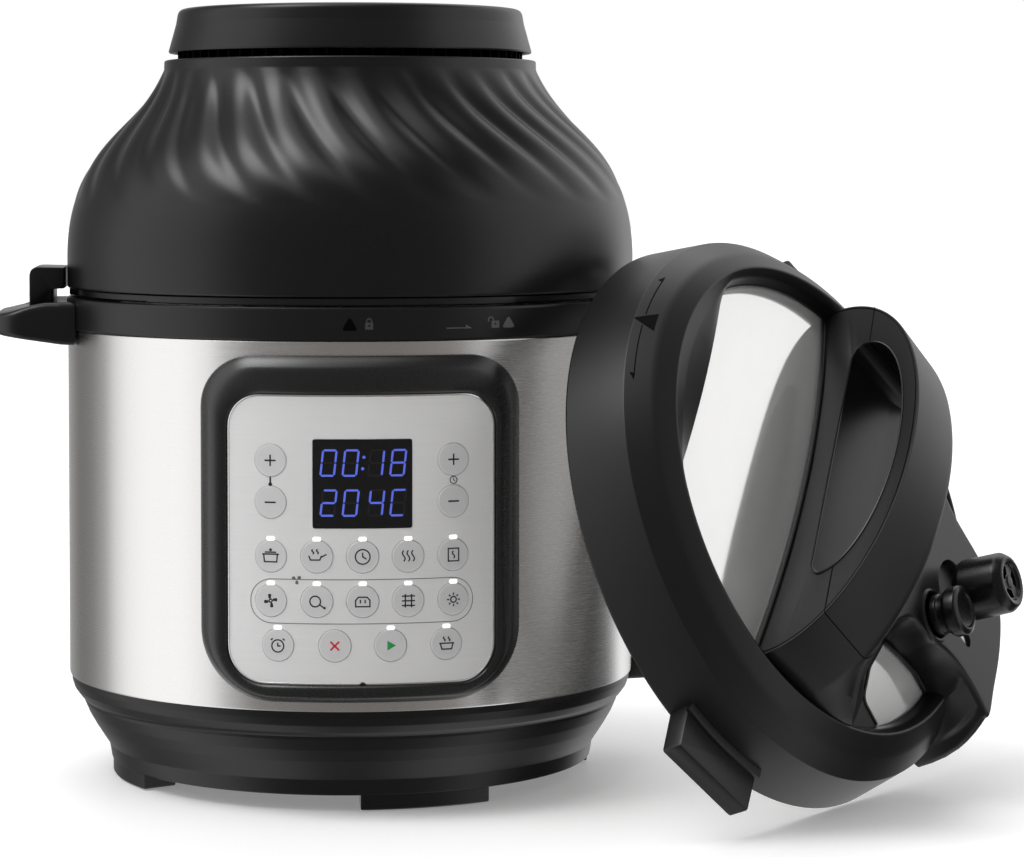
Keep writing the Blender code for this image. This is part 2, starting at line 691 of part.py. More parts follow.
def inner_lid(lid):
    profile = [(0.1160, 0.0360), (0.1330, 0.0240), (0.1345, 0.0080), (0.1390, 0.0080), (0.1390, 0.0065)]
    profile += [(0.1330, 0.0065), (0.1315, 0.0230), (0.1152, 0.0348), (0.0, 0.0348)]
    disc = turned("inner_lid", [(0.0, 0.0360)] + profile, lid, STEEL, INNER_STEPS, closed=False)
    lugs = prism(
        "inner_lid_lugs",
        [sector(0.1350, 0.1440, a, math.radians(22.0), 2) for a in ring_of(8, math.radians(22.5))],
        0.0068,
        0.0078,
        lid,
        None,
    )
    boolean(disc, lugs, "UNION")
    for spot, radius in ((STEAM_VALVE, 0.0062), (FLOAT_VALVE, 0.0044)):
        hole = rods("hole", [Matrix.Translation(spot)], radius, 0.020, 0.050, lid, None)
        boolean(disc, hole, "DIFFERENCE")
    seal = [(0.1305, 0.0215), (0.1305, 0.0075), (0.1200, 0.0075), (0.1200, 0.0100), (0.1275, 0.0105)]
    seal += [(0.1275, 0.0190), (0.1200, 0.0195), (0.1200, 0.0215)]
    turned("sealing_ring", seal, lid, SILICONE, INNER_STEPS)


def lid_handle(lid):
    """The arched grip: its front edge is an ellipse, and its rear widens into a foot at each end."""
    steps = 22
    low, rise = ARCH_Z
    shape = bmesh.new()
    sections = []
    for i in range(steps + 1):
        angle = math.pi * i / steps
        x = ARCH_HALF * math.cos(angle)
        floor = dome_height(min(abs(x), LIP[0]), 0.0006)
        top = max(low + rise * math.sin(angle), floor + 0.0060)
        back_top = max(top - 0.0050 * math.sin(angle), floor + 0.0055)
        widening = min(max((abs(x) - 0.0500) / 0.0250, 0.0), 1.0)
        foot = ARCH_BACK + ARCH_FLARE * widening**2 * (3 - 2 * widening)
        foot = min(foot, math.sqrt(0.1262**2 - x**2))
        foot_top = min(max(FOOT_TOP, floor + 0.0050), back_top)
        corners = (
            (ARCH_FRONT, floor),
            (ARCH_FRONT, top),
            (min(ARCH_BACK, foot - 0.0010), back_top),
            (foot, foot_top - 0.0005),
            (foot, floor),
        )
        sections.append([shape.verts.new((x, y, z)) for y, z in corners])
    count = len(sections[0])
    for first, second in zip(sections, sections[1:]):
        for k in range(count):
            n = (k + 1) % count
            shape.faces.new((first[k], first[n], second[n], second[k]))
    shape.faces.new(sections[0])
    shape.faces.new(reversed(sections[-1]))
    bmesh.ops.recalc_face_normals(shape, faces=shape.faces)
    mesh = bpy.data.meshes.new("lid_handle")
    shape.to_mesh(mesh)
    shape.free()
    handle = place("lid_handle", mesh, lid, BLACK)
    near = LIP[0] - GAP
    seat = [(near, LIP[1] + GAP), (CREST[0], CREST[1] + 0.0005), (0.1500, CREST[1])]
    seat += [(0.1500, 0.0), (near, 0.0)]
    boolean(handle, turned("handle_seat", seat, lid, None), "DIFFERENCE")
    level = FINGER_Z[0] + 0.0060
    unit = arc((0.0, 0.0), 1.0, 0.0, math.pi, 14)
    outline = [(FINGER_HALF * x, level + (FINGER_Z[1] - level) * z) for x, z in unit]
    outline += [(0.0060 - FINGER_HALF, FINGER_Z[0]), (FINGER_HALF - 0.0060, FINGER_Z[0])]
    hole = prism("finger_opening", [outline], -0.10, 0.10, lid, None)
    boolean(handle, facing_front(hole), "DIFFERENCE")


def lid_valves(lid):
    pipe = [(0.0050, 0.0735), (0.0055, 0.0280), (0.0110, 0.0280), (0.0110, 0.0255), (0.0025, 0.0255)]
    pipe += [(0.0025, 0.0735)]
    exhaust = turned("exhaust_pipe", pipe, lid, STEEL, 16)
    exhaust.location = STEAM_VALVE
    cap = [(0.0, 0.1030), (0.0125, 0.1030), (0.0158, 0.1000), (0.0160, 0.0740), (0.0140, 0.0710)]
    cap += [(0.0110, 0.0700), (0.0110, 0.0690), (0.0060, 0.0690), (0.0060, 0.0760), (0.0, 0.0760)]
    valve = turned("steam_valve", cap, lid, BLACK, 24, closed=False)
    valve.location = STEAM_VALVE
    head = [(0.0, 0.0850), (0.0120, 0.0850), (0.0130, 0.0835), (0.0130, 0.0760), (0.0115, 0.0745)]
    head += [(0.0082, 0.0745), (0.0082, 0.0560), (0.0, 0.0560)]
    button = turned("release_button", head, lid, BLACK, 20, closed=False)
    button.location = RELEASE
    stem = [(0.0, 0.0580), (0.0030, 0.0580), (0.0030, 0.0287), (0.0060, 0.0287), (0.0060, 0.0262)]
    stem += [(0.0, 0.0262)]
    pin = turned("float_valve", stem, lid, STEEL, 16, closed=False)
    pin.location = FLOAT_VALVE


def build():
    base = empty("base_axis", None, BASE_AXIS)
    bottom_housing(base)
    bottom_cover(base)
    steel_shell(base)
    top_collar(base)
    locking_ring(base)
    chamber_liner(base)
    heating_plate(base)
    boards(base)
    inner_pot(base)
    side_handle("handle_left", base, -1)
    side_handle("handle_right", base, 1)
    control_panel(base)
    condensation_cup(base)
    power_inlet(base)
    air_fryer_lid(base)
    tilt = Matrix.Rotation(LID_FACING, 4, "Z") @ Matrix.Rotation(LID_LEAN, 4, "Y")
    turn = (tilt @ Matrix.Rotation(LID_SPIN, 4, "Z")).to_euler()
    lid = empty("lid_axis", base, LID_CENTRE, turn)
    lid_cover(lid)
    lid_plate(lid)
    inner_lid(lid)
    lid_handle(lid)
    lid_valves(lid)


build()
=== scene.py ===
"""Looks of the electric pressure cooker: base, air-fryer lid on top, pressure lid leaning at the right.
Metres, +Z up. Base pieces are built about the base's axis, pressure lid pieces about the lid's own axis."""

import math

import bmesh
import bpy
import numpy as np
from mathutils import Matrix, Vector
from mathutils.geometry import delaunay_2d_cdt


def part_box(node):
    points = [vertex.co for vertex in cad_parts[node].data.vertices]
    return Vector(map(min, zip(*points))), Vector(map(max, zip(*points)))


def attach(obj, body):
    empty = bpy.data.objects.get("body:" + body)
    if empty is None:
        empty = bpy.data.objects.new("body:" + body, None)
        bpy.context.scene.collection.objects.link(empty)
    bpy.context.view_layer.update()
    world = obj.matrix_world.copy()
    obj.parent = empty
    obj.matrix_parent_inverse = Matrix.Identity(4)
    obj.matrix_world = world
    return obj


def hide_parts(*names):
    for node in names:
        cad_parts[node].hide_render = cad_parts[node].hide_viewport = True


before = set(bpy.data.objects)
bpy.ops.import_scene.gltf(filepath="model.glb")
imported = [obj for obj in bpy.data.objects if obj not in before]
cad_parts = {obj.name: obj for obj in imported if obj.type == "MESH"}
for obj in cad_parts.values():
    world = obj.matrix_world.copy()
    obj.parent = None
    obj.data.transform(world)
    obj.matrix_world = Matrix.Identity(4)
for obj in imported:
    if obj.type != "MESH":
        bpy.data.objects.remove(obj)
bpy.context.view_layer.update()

MM = 0.001
SHELL_LOW, SHELL_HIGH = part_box("steel_shell")
AXIS = Vector(((SHELL_LOW.x + SHELL_HIGH.x) / 2, (SHELL_LOW.y + SHELL_HIGH.y) / 2, 0.0))
BASE = Matrix.Translation(AXIS)

# The pressure lid's own frame: +Z out of its top, front at -Y, tabs at -X and +X
LID_CENTRE = Vector((0.207, -0.0969, 0.1428))
LID_TURN = (math.radians(-40.8), math.radians(69.0), math.radians(-45.0))
LID = Matrix.Translation(AXIS + LID_CENTRE)
for turn, axis in zip(LID_TURN, "ZYZ"):
    LID = LID @ Matrix.Rotation(turn, 4, axis)

FINE = 192  # steps round a large turned piece
PANEL_R = 0.1594  # the panel's front, and the keys' printed faces just in front of it
KEY_PITCH = 0.0231

# ---- materials


class Nodes:
    """Short names for building a node tree."""

    def __init__(self, tree):
        self.tree = tree
        self.shader = tree.nodes.get("Principled BSDF")

    def add(self, kind, **values):
        node = self.tree.nodes.new(kind)
        for key, value in values.items():
            if isinstance(value, bpy.types.NodeSocket):
                self.tree.links.new(value, node.inputs[key])
            elif key in node.inputs:
                node.inputs[key].default_value = value
            else:
                setattr(node, key, value)
        return node

    def link(self, source, name):
        self.tree.links.new(source, self.shader.inputs[name])

    def math(self, operation, a, b=0.0):
        node = self.tree.nodes.new("ShaderNodeMath")
        node.operation = operation
        for socket, value in zip(node.inputs, (a, b)):
            if isinstance(value, bpy.types.NodeSocket):
                self.tree.links.new(value, socket)
            else:
                socket.default_value = value
        return node.outputs[0]

    def position(self, squash=(1.0, 1.0, 1.0)):
        place = self.add("ShaderNodeTexCoord").outputs["Object"]
        return self.add("ShaderNodeMapping", Vector=place, Scale=squash).outputs["Vector"]

    def noise(self, vector, scale, detail=4.0, roughness=0.55):
        node = self.add("ShaderNodeTexNoise", Vector=vector)
        for key, value in (("Scale", scale), ("Detail", detail), ("Roughness", roughness)):
            node.inputs[key].default_value = value
        return node.outputs["Fac"]

    def ramp(self, factor, low, high):
        node = self.tree.nodes.new("ShaderNodeMapRange")
        self.tree.links.new(factor, node.inputs["Value"])
        node.inputs["To Min"].default_value = low
        node.inputs["To Max"].default_value = high
        return node.outputs["Result"]

    def mix(self, factor, first, second):
        node = self.tree.nodes.new("ShaderNodeMix")
        node.data_type = "RGBA"
        self.tree.links.new(factor, node.inputs["Factor"])
        node.inputs["A"].default_value = (*first, 1.0)
        node.inputs["B"].default_value = (*second, 1.0)
        return node.outputs["Result"]

    def bump(self, height, strength, distance):
        node = self.tree.nodes.new("ShaderNodeBump")
        node.inputs["Strength"].default_value = strength
        node.inputs["Distance"].default_value = distance
        self.tree.links.new(height, node.inputs["Height"])
        self.link(node.outputs["Normal"], "Normal")


def principled(name, colour, roughness, metallic=0.0, **values):
    material = bpy.data.materials.new(name)
    material.use_nodes = True
    nodes = Nodes(material.node_tree)
    nodes.shader.inputs["Base Color"].default_value = (*colour, 1.0)
    nodes.shader.inputs["Roughness"].default_value = roughness
    nodes.shader.inputs["Metallic"].default_value = metallic
    for key, value in values.items():
        nodes.shader.inputs[key.replace("_", " ")].default_value = value
    return material, nodes


def moulded(name, colour, roughness, grain=0.00004, grain_scale=1600.0, shine=0.36):
    """Injection-moulded plastic: a fine spark-eroded grain and slight, broad changes of sheen."""
    material, nodes = principled(name, colour, roughness, Specular_IOR_Level=shine)
    place = nodes.position()
    fine = nodes.noise(place, grain_scale, 2.0)
    broad = nodes.noise(place, 9.0, 3.0)
    spread = nodes.math("ADD", nodes.ramp(fine, -0.05, 0.05), nodes.ramp(broad, -0.035, 0.035))
    nodes.link(nodes.math("ADD", spread, roughness), "Roughness")
    light = tuple(c * 1.25 + 0.001 for c in colour)
    nodes.link(nodes.mix(nodes.noise(place, 420.0, 3.0), colour, light), "Base Color")
    nodes.bump(fine, 0.35, grain)
    return material


def brushed(name, colour, roughness, along, anisotropy, streak=0.1, depth=0.00002, metallic=1.0):
    """Metal with hair lines. along is the axis that the lines circle ("Z") or run along ("X")."""
    material, nodes = principled(name, colour, roughness, metallic, Anisotropic=anisotropy)
    if along == "Z":
        place = nodes.add("ShaderNodeTexCoord").outputs["Object"]
        split = nodes.add("ShaderNodeSeparateXYZ", Vector=place)
        turn = nodes.math("ARCTAN2", split.outputs["Y"], split.outputs["X"])
        joined = nodes.tree.nodes.new("ShaderNodeCombineXYZ")
        nodes.tree.links.new(nodes.math("MULTIPLY", turn, 1.4), joined.inputs["X"])
        nodes.tree.links.new(nodes.math("MULTIPLY", split.outputs["Z"], 900.0), joined.inputs["Z"])
        hair_place = joined.outputs["Vector"]
        tangent = nodes.tree.nodes.new("ShaderNodeTangent")
        tangent.direction_type = "RADIAL"
        tangent.axis = "Z"
        nodes.link(tangent.outputs["Tangent"], "Tangent")
        nodes.shader.inputs["Anisotropic Rotation"].default_value = 0.25
    else:
        hair_place = nodes.position((6.0, 6.0, 900.0))
    hair = nodes.noise(hair_place, 3.0, 6.0, 0.7)
    broad = nodes.noise(nodes.position((1.0, 1.0, 8.0)), 4.0, 2.0)
    spread = nodes.math("ADD", nodes.ramp(hair, -streak, streak), nodes.ramp(broad, -0.02, 0.02))
    nodes.link(nodes.math("ADD", spread, roughness), "Roughness")
    dark = tuple(c * 0.86 for c in colour)
    nodes.link(nodes.mix(hair, dark, colour), "Base Color")
    nodes.bump(hair, 0.25, depth)
    return material


def polished(name, colour, roughness, metallic=1.0):
    """Mirror-finished steel with the faint wipe marks that handling leaves."""
    material, nodes = principled(name, colour, roughness, metallic)
    marks = nodes.noise(nodes.position((1.0, 3.0, 1.0)), 60.0, 5.0, 0.6)
    nodes.link(nodes.math("ADD", nodes.ramp(marks, -0.02, 0.03), roughness), "Roughness")
    nodes.link(nodes.mix(marks, tuple(c * 0.95 for c in colour), colour), "Base Color")
    return material


def glowing(name, colour, strength):
    material, nodes = principled(name, colour, 0.4)
    nodes.shader.inputs["Emission Color"].default_value = (*colour, 1.0)
    nodes.shader.inputs["Emission Strength"].default_value = strength
    cells = nodes.noise(nodes.position(), 900.0, 1.0)
    nodes.link(nodes.ramp(cells, 0.36, 0.44), "Roughness")
    return material


def printed(name, colour, roughness=0.45, **values):
    """Screen-printed ink with a slightly uneven coat."""
    material, nodes = principled(name, colour, roughness, **values)
    coat = nodes.noise(nodes.position(), 1400.0, 2.0)
    nodes.link(nodes.ramp(coat, roughness - 0.06, roughness + 0.06), "Roughness")
    nodes.link(nodes.mix(coat, colour, tuple(c * 0.85 for c in colour)), "Base Color")
    return material


DOME_BLACK = moulded("dome_black", (0.0034, 0.0034, 0.0036), 0.3)
SATIN_BLACK = moulded("satin_black", (0.004, 0.004, 0.0042), 0.32)
LID_BLACK = moulded("lid_black", (0.0046, 0.0046, 0.0047), 0.36)
GRIP_BLACK = moulded("grip_black", (0.0046, 0.0046, 0.0047), 0.4, 0.00006, 1200.0)
GLOSS_BLACK = moulded("gloss_black", (0.0028, 0.0028, 0.0029), 0.26, 0.00001)
BEZEL_BLACK = moulded("bezel_black", (0.006, 0.006, 0.0062), 0.28, 0.00002, shine=0.62)
MARK_GREY = printed("mark_grey", (0.085, 0.085, 0.088))
MARK_DIM = printed("mark_dim", (0.045, 0.045, 0.047))
# Near-black ink with almost no shine, for printed marks and seams; on the vent ribs under the cap it is
# painted shade, so that they read as the dark gap there.
MARK_AND_SHADE_BLACK = printed("mark_and_shade_black", (0.0008, 0.0008, 0.0008), 0.6, Specular_IOR_Level=0.06)
SHELL_STEEL = brushed("shell_steel", (0.77, 0.76, 0.755), 0.27, "Z", 0.8)
POT_STEEL = brushed("pot_steel", (0.72, 0.71, 0.7), 0.22, "Z", 0.5)
MIRROR_STEEL = polished("mirror_steel", (0.9, 0.895, 0.89), 0.075, 0.66)
PLAIN_STEEL = polished("plain_steel", (0.62, 0.61, 0.6), 0.24)
ALUMINIUM = brushed("satin_aluminium", (0.7, 0.7, 0.71), 0.36, "X", 0.0)
PANEL_SILVER = brushed("panel_silver", (0.8, 0.8, 0.8), 0.46, "X", 0.0, 0.06, metallic=0.25)
KEY_SILVER = brushed("key_silver", (0.66, 0.66, 0.665), 0.48, "X", 0.0, 0.05, metallic=0.2)
RIM_SILVER = polished("rim_silver", (0.86, 0.86, 0.86), 0.16)
INK = printed("ink", (0.012, 0.012, 0.013))
INK_GREY = printed("ink_grey", (0.13, 0.13, 0.135))
INK_RED = printed("ink_red", (0.62, 0.012, 0.03))
INK_GREEN = printed("ink_green", (0.01, 0.33, 0.075))
LED_WHITE = glowing("led_white", (1.0, 1.0, 1.0), 1.1)
DIGIT_BLUE = glowing("digit_blue", (0.075, 0.115, 0.6), 0.42)
DIGIT_OFF = printed("digit_off", (0.01, 0.01, 0.012), 0.3)
WINDOW_BLACK = moulded("window_black", (0.0055, 0.0055, 0.0065), 0.16, 0.000005)
SILICONE = moulded("silicone", (0.55, 0.55, 0.53), 0.52)
RUBBER = moulded("rubber", (0.014, 0.014, 0.014), 0.7)
BOARD_GREEN = moulded("board_green", (0.02, 0.13, 0.05), 0.45)

# ---- mesh tools


def outward_mesh(name, verts, faces, merge=True):
    mesh = bpy.data.meshes.new(name)
    mesh.from_pydata([tuple(v) for v in verts], [], faces)
    shape = bmesh.new()
    shape.from_mesh(mesh)
    if merge:
        bmesh.ops.remove_doubles(shape, verts=shape.verts, dist=1e-7)
    bmesh.ops.recalc_face_normals(shape, faces=shape.faces)
    shape.to_mesh(mesh)
    shape.free()
    return mesh


def add(name, verts, faces, material, body, place=BASE, smooth=32.0, replaces=(), slot="black_plastic"):
    """A new piece that rides on a body, with its faces turned outwards."""
    mesh = outward_mesh(name, verts, faces)
    mesh.shade_smooth()
    mesh.set_sharp_from_angle(angle=math.radians(smooth))
    mesh.materials.append(material)
    obj = bpy.data.objects.new(name, mesh)
    bpy.context.scene.collection.objects.link(obj)
    obj.matrix_world = place
    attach(obj, body)
    if replaces:
        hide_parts(*replaces)
    return obj


def fillet(points, radius=0.0, closed=True, steps=4):
    """Rounds the corners of a 2D outline. A point may carry its own radius as a third value."""
    count = len(points)
    result = []
    for i, point in enumerate(points):
        size = point[2] if len(point) > 2 else radius
        here = Vector(point[:2])
        if not closed and i in (0, count - 1):
            result.append(tuple(here))
            continue
        before = Vector(points[i - 1][:2]) - here
        after = Vector(points[(i + 1) % count][:2]) - here
        if size <= 0 or before.length < 1e-9 or after.length < 1e-9:
            result.append(tuple(here))
            continue
        spread = math.tan(max(before.angle(after), 1e-4) / 2)
        reach = min(size / spread, before.length * 0.48, after.length * 0.48)
        start = here + before.normalized() * reach
        end = here + after.normalized() * reach
        for k in range(steps + 1):
            t = k / steps
            result.append(tuple(start * (1 - t) ** 2 + here * (2 * t * (1 - t)) + end * t**2))
    return result


def bezier(a, b, c, d, steps):
    points = []
    for i in range(steps + 1):
        t = i / steps
        weights = ((1 - t) ** 3, 3 * (1 - t) ** 2 * t, 3 * (1 - t) * t**2, t**3)
        points.append(tuple(sum(w * p[k] for w, p in zip(weights, (a, b, c, d))) for k in (0, 1)))
    return points


def revolve(rows_at, steps, closed):
    """Vertices and faces of a body of revolution. rows_at(angle) gives the (r, z) rows there."""
    verts, faces, first = [], [], rows_at(0.0)
    count = len(first)
    axis = [abs(r) < 1e-9 for r, _ in first]
    index = np.zeros((steps, count), int)
    for s in range(steps):
        angle = math.tau * s / steps
        rows = first if s == 0 else rows_at(angle)
        for k, (r, z) in enumerate(rows):
            if axis[k] and s:
                index[s, k] = index[0, k]
                continue
            index[s, k] = len(verts)
            verts.append((r * math.cos(angle), r * math.sin(angle), z))
    last = count if closed else count - 1
    for s in range(steps):
        t = (s + 1) % steps
        for k in range(last):
            n = (k + 1) % count
            loop = [index[s, k], index[s, n], index[t, n], index[t, k]]
            loop = [int(v) for i, v in enumerate(loop) if v != loop[i - 1]]
            if len(set(loop)) > 2:
                faces.append(loop)
    return verts, faces


def lathe(name, profile, material, body, place=BASE, steps=FINE, rounding=4, **extra):
    """A (radius, height) profile turned about Z, and left open if it starts on the axis."""
    closed = profile[0][0] > 0
    rows = fillet(profile, closed=closed, steps=rounding)
    return add(name, *revolve(lambda angle: rows, steps, closed), material, body, place, **extra)


def fill_faces(outlines):
    """Triangles that fill flat outlines, any inner ones being holes, as (points, triangles)."""
    shape = bmesh.new()
    for outline in outlines:
        ring = [shape.verts.new((x, y, 0.0)) for x, y in outline]
        for first, second in zip(ring, ring[1:] + ring[:1]):
            shape.edges.new((first, second))
    bmesh.ops.triangle_fill(shape, edges=shape.edges, use_beauty=True, normal=(0.0, 0.0, 1.0))
    shape.verts.index_update()
    points = [tuple(v.co[:2]) for v in shape.verts]
    faces = [[v.index for v in f.verts] for f in shape.faces]
    shape.free()
    return points, faces


def plate(outlines, shape_of, low=0.0, high=1.0):
    """A thin slab between two outlines' fills. shape_of(x, y, height) places a point."""
    points, faces = fill_faces(outlines)
    count = len(points)
    verts = [shape_of(x, y, high) for x, y in points] + [shape_of(x, y, low) for x, y in points]
    solid = list(faces) + [[v + count for v in reversed(f)] for f in faces]
    start = 0
    for outline in outlines:
        ring = range(start, start + len(outline))
        for i in ring:
            n = i + 1 if i + 1 < start + len(outline) else start
            solid.append([i, n, n + count, i + count])
        start += len(outline)
    return verts, solid


def loft(loops, cap_first=True, cap_last=True, closed=True):
    """Skins a list of equal-length loops of points."""
    count = len(loops[0])
    verts = [p for loop in loops for p in loop]
    faces = []
    for a in range(len(loops) - 1):
        for k in range(count if closed else count - 1):
            n = (k + 1) % count
            faces.append([a * count + k, a * count + n, (a + 1) * count + n, (a + 1) * count + k])
    if cap_first:
        faces.append(list(range(count))[::-1])
    if cap_last:
        faces.append(list(range((len(loops) - 1) * count, len(loops) * count)))
    return verts, faces


def arc(centre, radius, start, end, steps):
    angles = [start + (end - start) * i / steps for i in range(steps + 1)]
    return [(centre[0] + radius * math.cos(a), centre[1] + radius * math.sin(a)) for a in angles]


def circle(centre, radius, steps):
    return arc(centre, radius, 0.0, math.tau, steps)[:-1]


def clamp(value):
    return min(max(value, 0.0), 1.0)


def turned(points, angle):
    c, s = math.cos(angle), math.sin(angle)
    return [(x * c - y * s, x * s + y * c) for x, y in points]


def rounded_box(half_x, low, high, top_radius, foot_radius, steps=8):
    quarter = math.pi / 2
    corners = (
        (half_x - top_radius, high - top_radius, top_radius, 0.0),
        (top_radius - half_x, high - top_radius, top_radius, quarter),
        (foot_radius - half_x, low + foot_radius, foot_radius, 2 * quarter),
        (half_x - foot_radius, low + foot_radius, foot_radius, 3 * quarter)
    )
    outline = []
    for x, y, radius, start in corners:
        outline += arc((x, y), radius, start, start + quarter, steps)
    return outline


def densify(outline, step):
    """The same closed outline with extra points, so that it bends smoothly when wrapped."""
    result = []
    for (x0, y0), (x1, y1) in zip(outline, outline[1:] + outline[:1]):
        parts = max(1, math.ceil(math.hypot(x1 - x0, y1 - y0) / step))
        result += [(x0 + (x1 - x0) * i / parts, y0 + (y1 - y0) * i / parts) for i in range(parts)]
    return result


def on_shell(x, z, radius):
    """A point at x and z, as seen from the front, on the front of a cylinder about the base's axis."""
    return (x, -math.sqrt(max(radius**2 - x**2, 0.0)), z)


def bevelled(obj, width, segments=3, angle=35.0):
    modifier = obj.modifiers.new("Edges", "BEVEL")
    modifier.width = width
    modifier.segments = segments
    modifier.limit_method = "ANGLE"
    modifier.angle_limit = math.radians(angle)
    modifier.harden_normals = False
    return obj


def cut(obj, cutter_verts, cutter_faces):
    """Cuts a solid given in obj's own frame out of obj, at once."""
    mesh = outward_mesh("cutter", cutter_verts, cutter_faces, False)
    cutter = bpy.data.objects.new("cutter", mesh)
    bpy.context.scene.collection.objects.link(cutter)
    cutter.matrix_world = obj.matrix_world
    modifier = obj.modifiers.new("Cut", "BOOLEAN")
    modifier.operation = "DIFFERENCE"
    modifier.object = cutter
    bpy.context.view_layer.update()
    graph = bpy.context.evaluated_depsgraph_get()
    result = bpy.data.meshes.new_from_object(obj.evaluated_get(graph))
    obj.modifiers.remove(modifier)
    old = obj.data
    obj.data = result
    bpy.data.meshes.remove(old)
    bpy.data.objects.remove(cutter)
    bpy.data.meshes.remove(mesh)
    return obj


def cylinder(radius, low, high, centre=(0.0, 0.0), steps=32):
    ring = circle(centre, radius, steps)
    return loft([[(x, y, low) for x, y in ring], [(x, y, high) for x, y in ring]])


def joined(parts):
    """Several (vertices, faces) as one."""
    verts, faces = [], []
    for some_verts, some_faces in parts:
        start = len(verts)
        verts += list(some_verts)
        faces += [[v + start for v in f] for f in some_faces]
    return verts, faces


def moved(part, matrix):
    verts, faces = part
    return [tuple(matrix @ Vector(v)) for v in verts], faces


def box_part(size, centre=(0.0, 0.0, 0.0)):
    x, y, z = (s / 2 for s in size)
    ring = [(-x, -y), (x, -y), (x, y), (-x, y)]
    loops = [[(centre[0] + a, centre[1] + b, centre[2] + c) for a, b in ring] for c in (-z, z)]
    return loft(loops)


def tube_part(points, radius, sides=10, closed=False):
    """A round tube along points, with flat ends unless it is closed."""
    path = [Vector(p) for p in points]
    count = len(path)
    loops = []
    up = None
    for i, here in enumerate(path):
        if closed:
            along = path[(i + 1) % count] - path[i - 1]
        else:
            along = path[min(i + 1, count - 1)] - path[max(i - 1, 0)]
        along.normalize()
        if up is None:
            up = along.orthogonal().normalized()
        up = (up - along * up.dot(along)).normalized()
        side = along.cross(up)
        turns = [math.tau * k / sides for k in range(sides)]
        loops.append([tuple(here + radius * (up * math.cos(a) + side * math.sin(a))) for a in turns])
    if closed:
        loops.append(loops[0])
    return loft(loops, not closed, not closed)


# ---- base


def bottom_housing():
    profile = [
        (0.1532, 0.0554), (0.1533, 0.052, 0.001), (0.1521, 0.048, 0.003), (0.1492, 0.044, 0.003),
        (0.1474, 0.0424, 0.0008), (0.1466, 0.0414, 0.0006), (0.1466, 0.04, 0.001), (0.144, 0.034, 0.01),
        (0.1403, 0.0276, 0.008), (0.136, 0.021, 0.006), (0.1332, 0.0168, 0.002), (0.1318, 0.0088, 0.001),
        (0.131, 0.0084, 0.0004), (0.1116, 0.0084, 0.0004), (0.1116, 0.0115), (0.129, 0.0115),
        (0.132, 0.0205), (0.142, 0.039), (0.149, 0.048), (0.15, 0.0554)
    ]
    lathe("base_housing", profile, SATIN_BLACK, "base", replaces=["bottom_housing"])
    foot_circle = 0.1216
    first = math.radians(-74.5)
    half = math.radians(15.5)
    for number in range(4):
        middle = first + number * math.pi / 2
        outline = arc((0, 0), 0.1311, middle - half, middle + half, 16)
        outline += arc((0, 0), 0.1122, middle + half, middle - half, 16)
        centre = (foot_circle * math.cos(middle), foot_circle * math.sin(middle))
        loops = []
        for height, inset in ((9.0, 0.0), (1.4, 0.0), (0.8, 0.4), (0.55, 1.2)):
            ring = []
            for x, y in outline:
                r, a = math.hypot(x, y), math.atan2(y, x)
                r += inset * MM * (1 if r < 0.12 else -1)
                offset = (a - middle + math.pi) % math.tau - math.pi
                offset *= 1 - inset * MM / (foot_circle * half)
                ring.append((r * math.cos(middle + offset), r * math.sin(middle + offset), height * MM))
            loops.append(ring)
        plinth = add(f"plinth_{number + 1}", *loft(loops), SATIN_BLACK, "base")
        cut(plinth, *cylinder(0.006, -0.01, 0.003, centre))
        foot = [
            (0.0, 0.0028), (0.0054, 0.0028), (0.0055, 0.001, 0.0004), (0.0049, 0.0, 0.0006),
            (0.003, 0.0, 0.0002), (0.0026, 0.0004), (0.0, 0.0004)
        ]
        lathe(
            f"rubber_foot_{number + 1}", foot, RUBBER, "base", BASE @ Matrix.Translation((*centre, 0.0)),
            40, replaces=[f"foot_{number + 1}"], slot="rubber"
        )


def shell():
    profile = [
        (0.1543, 0.2434, 0.0003), (0.1545, 0.2428, 0.0003), (0.1545, 0.0562, 0.0003), (0.1543, 0.0556),
        (0.1536, 0.0556), (0.1536, 0.2434)
    ]
    lathe(
        "brushed_shell", profile, SHELL_STEEL, "base", steps=256, replaces=["steel_shell"],
        slot="brushed_steel"
    )


def collar():
    profile = [
        (0.1542, 0.2606, 0.0003), (0.1549, 0.2602, 0.0005), (0.1552, 0.259, 0.0006),
        (0.1552, 0.2446, 0.0006), (0.1548, 0.2437, 0.0004), (0.131, 0.2437), (0.131, 0.2465, 0.0006),
        (0.1508, 0.2465, 0.001), (0.1508, 0.2604, 0.0006), (0.1514, 0.2606, 0.0003)
    ]
    lathe("collar", profile, SATIN_BLACK, "base", steps=256, replaces=["top_collar"])
    ledge = add(
        "cup_ledge", *box_part((0.068, 0.0128, 0.0036), (0.0, 0.1576, 0.2455)), SATIN_BLACK, "base"
    )
    bevelled(ledge, 0.0008)


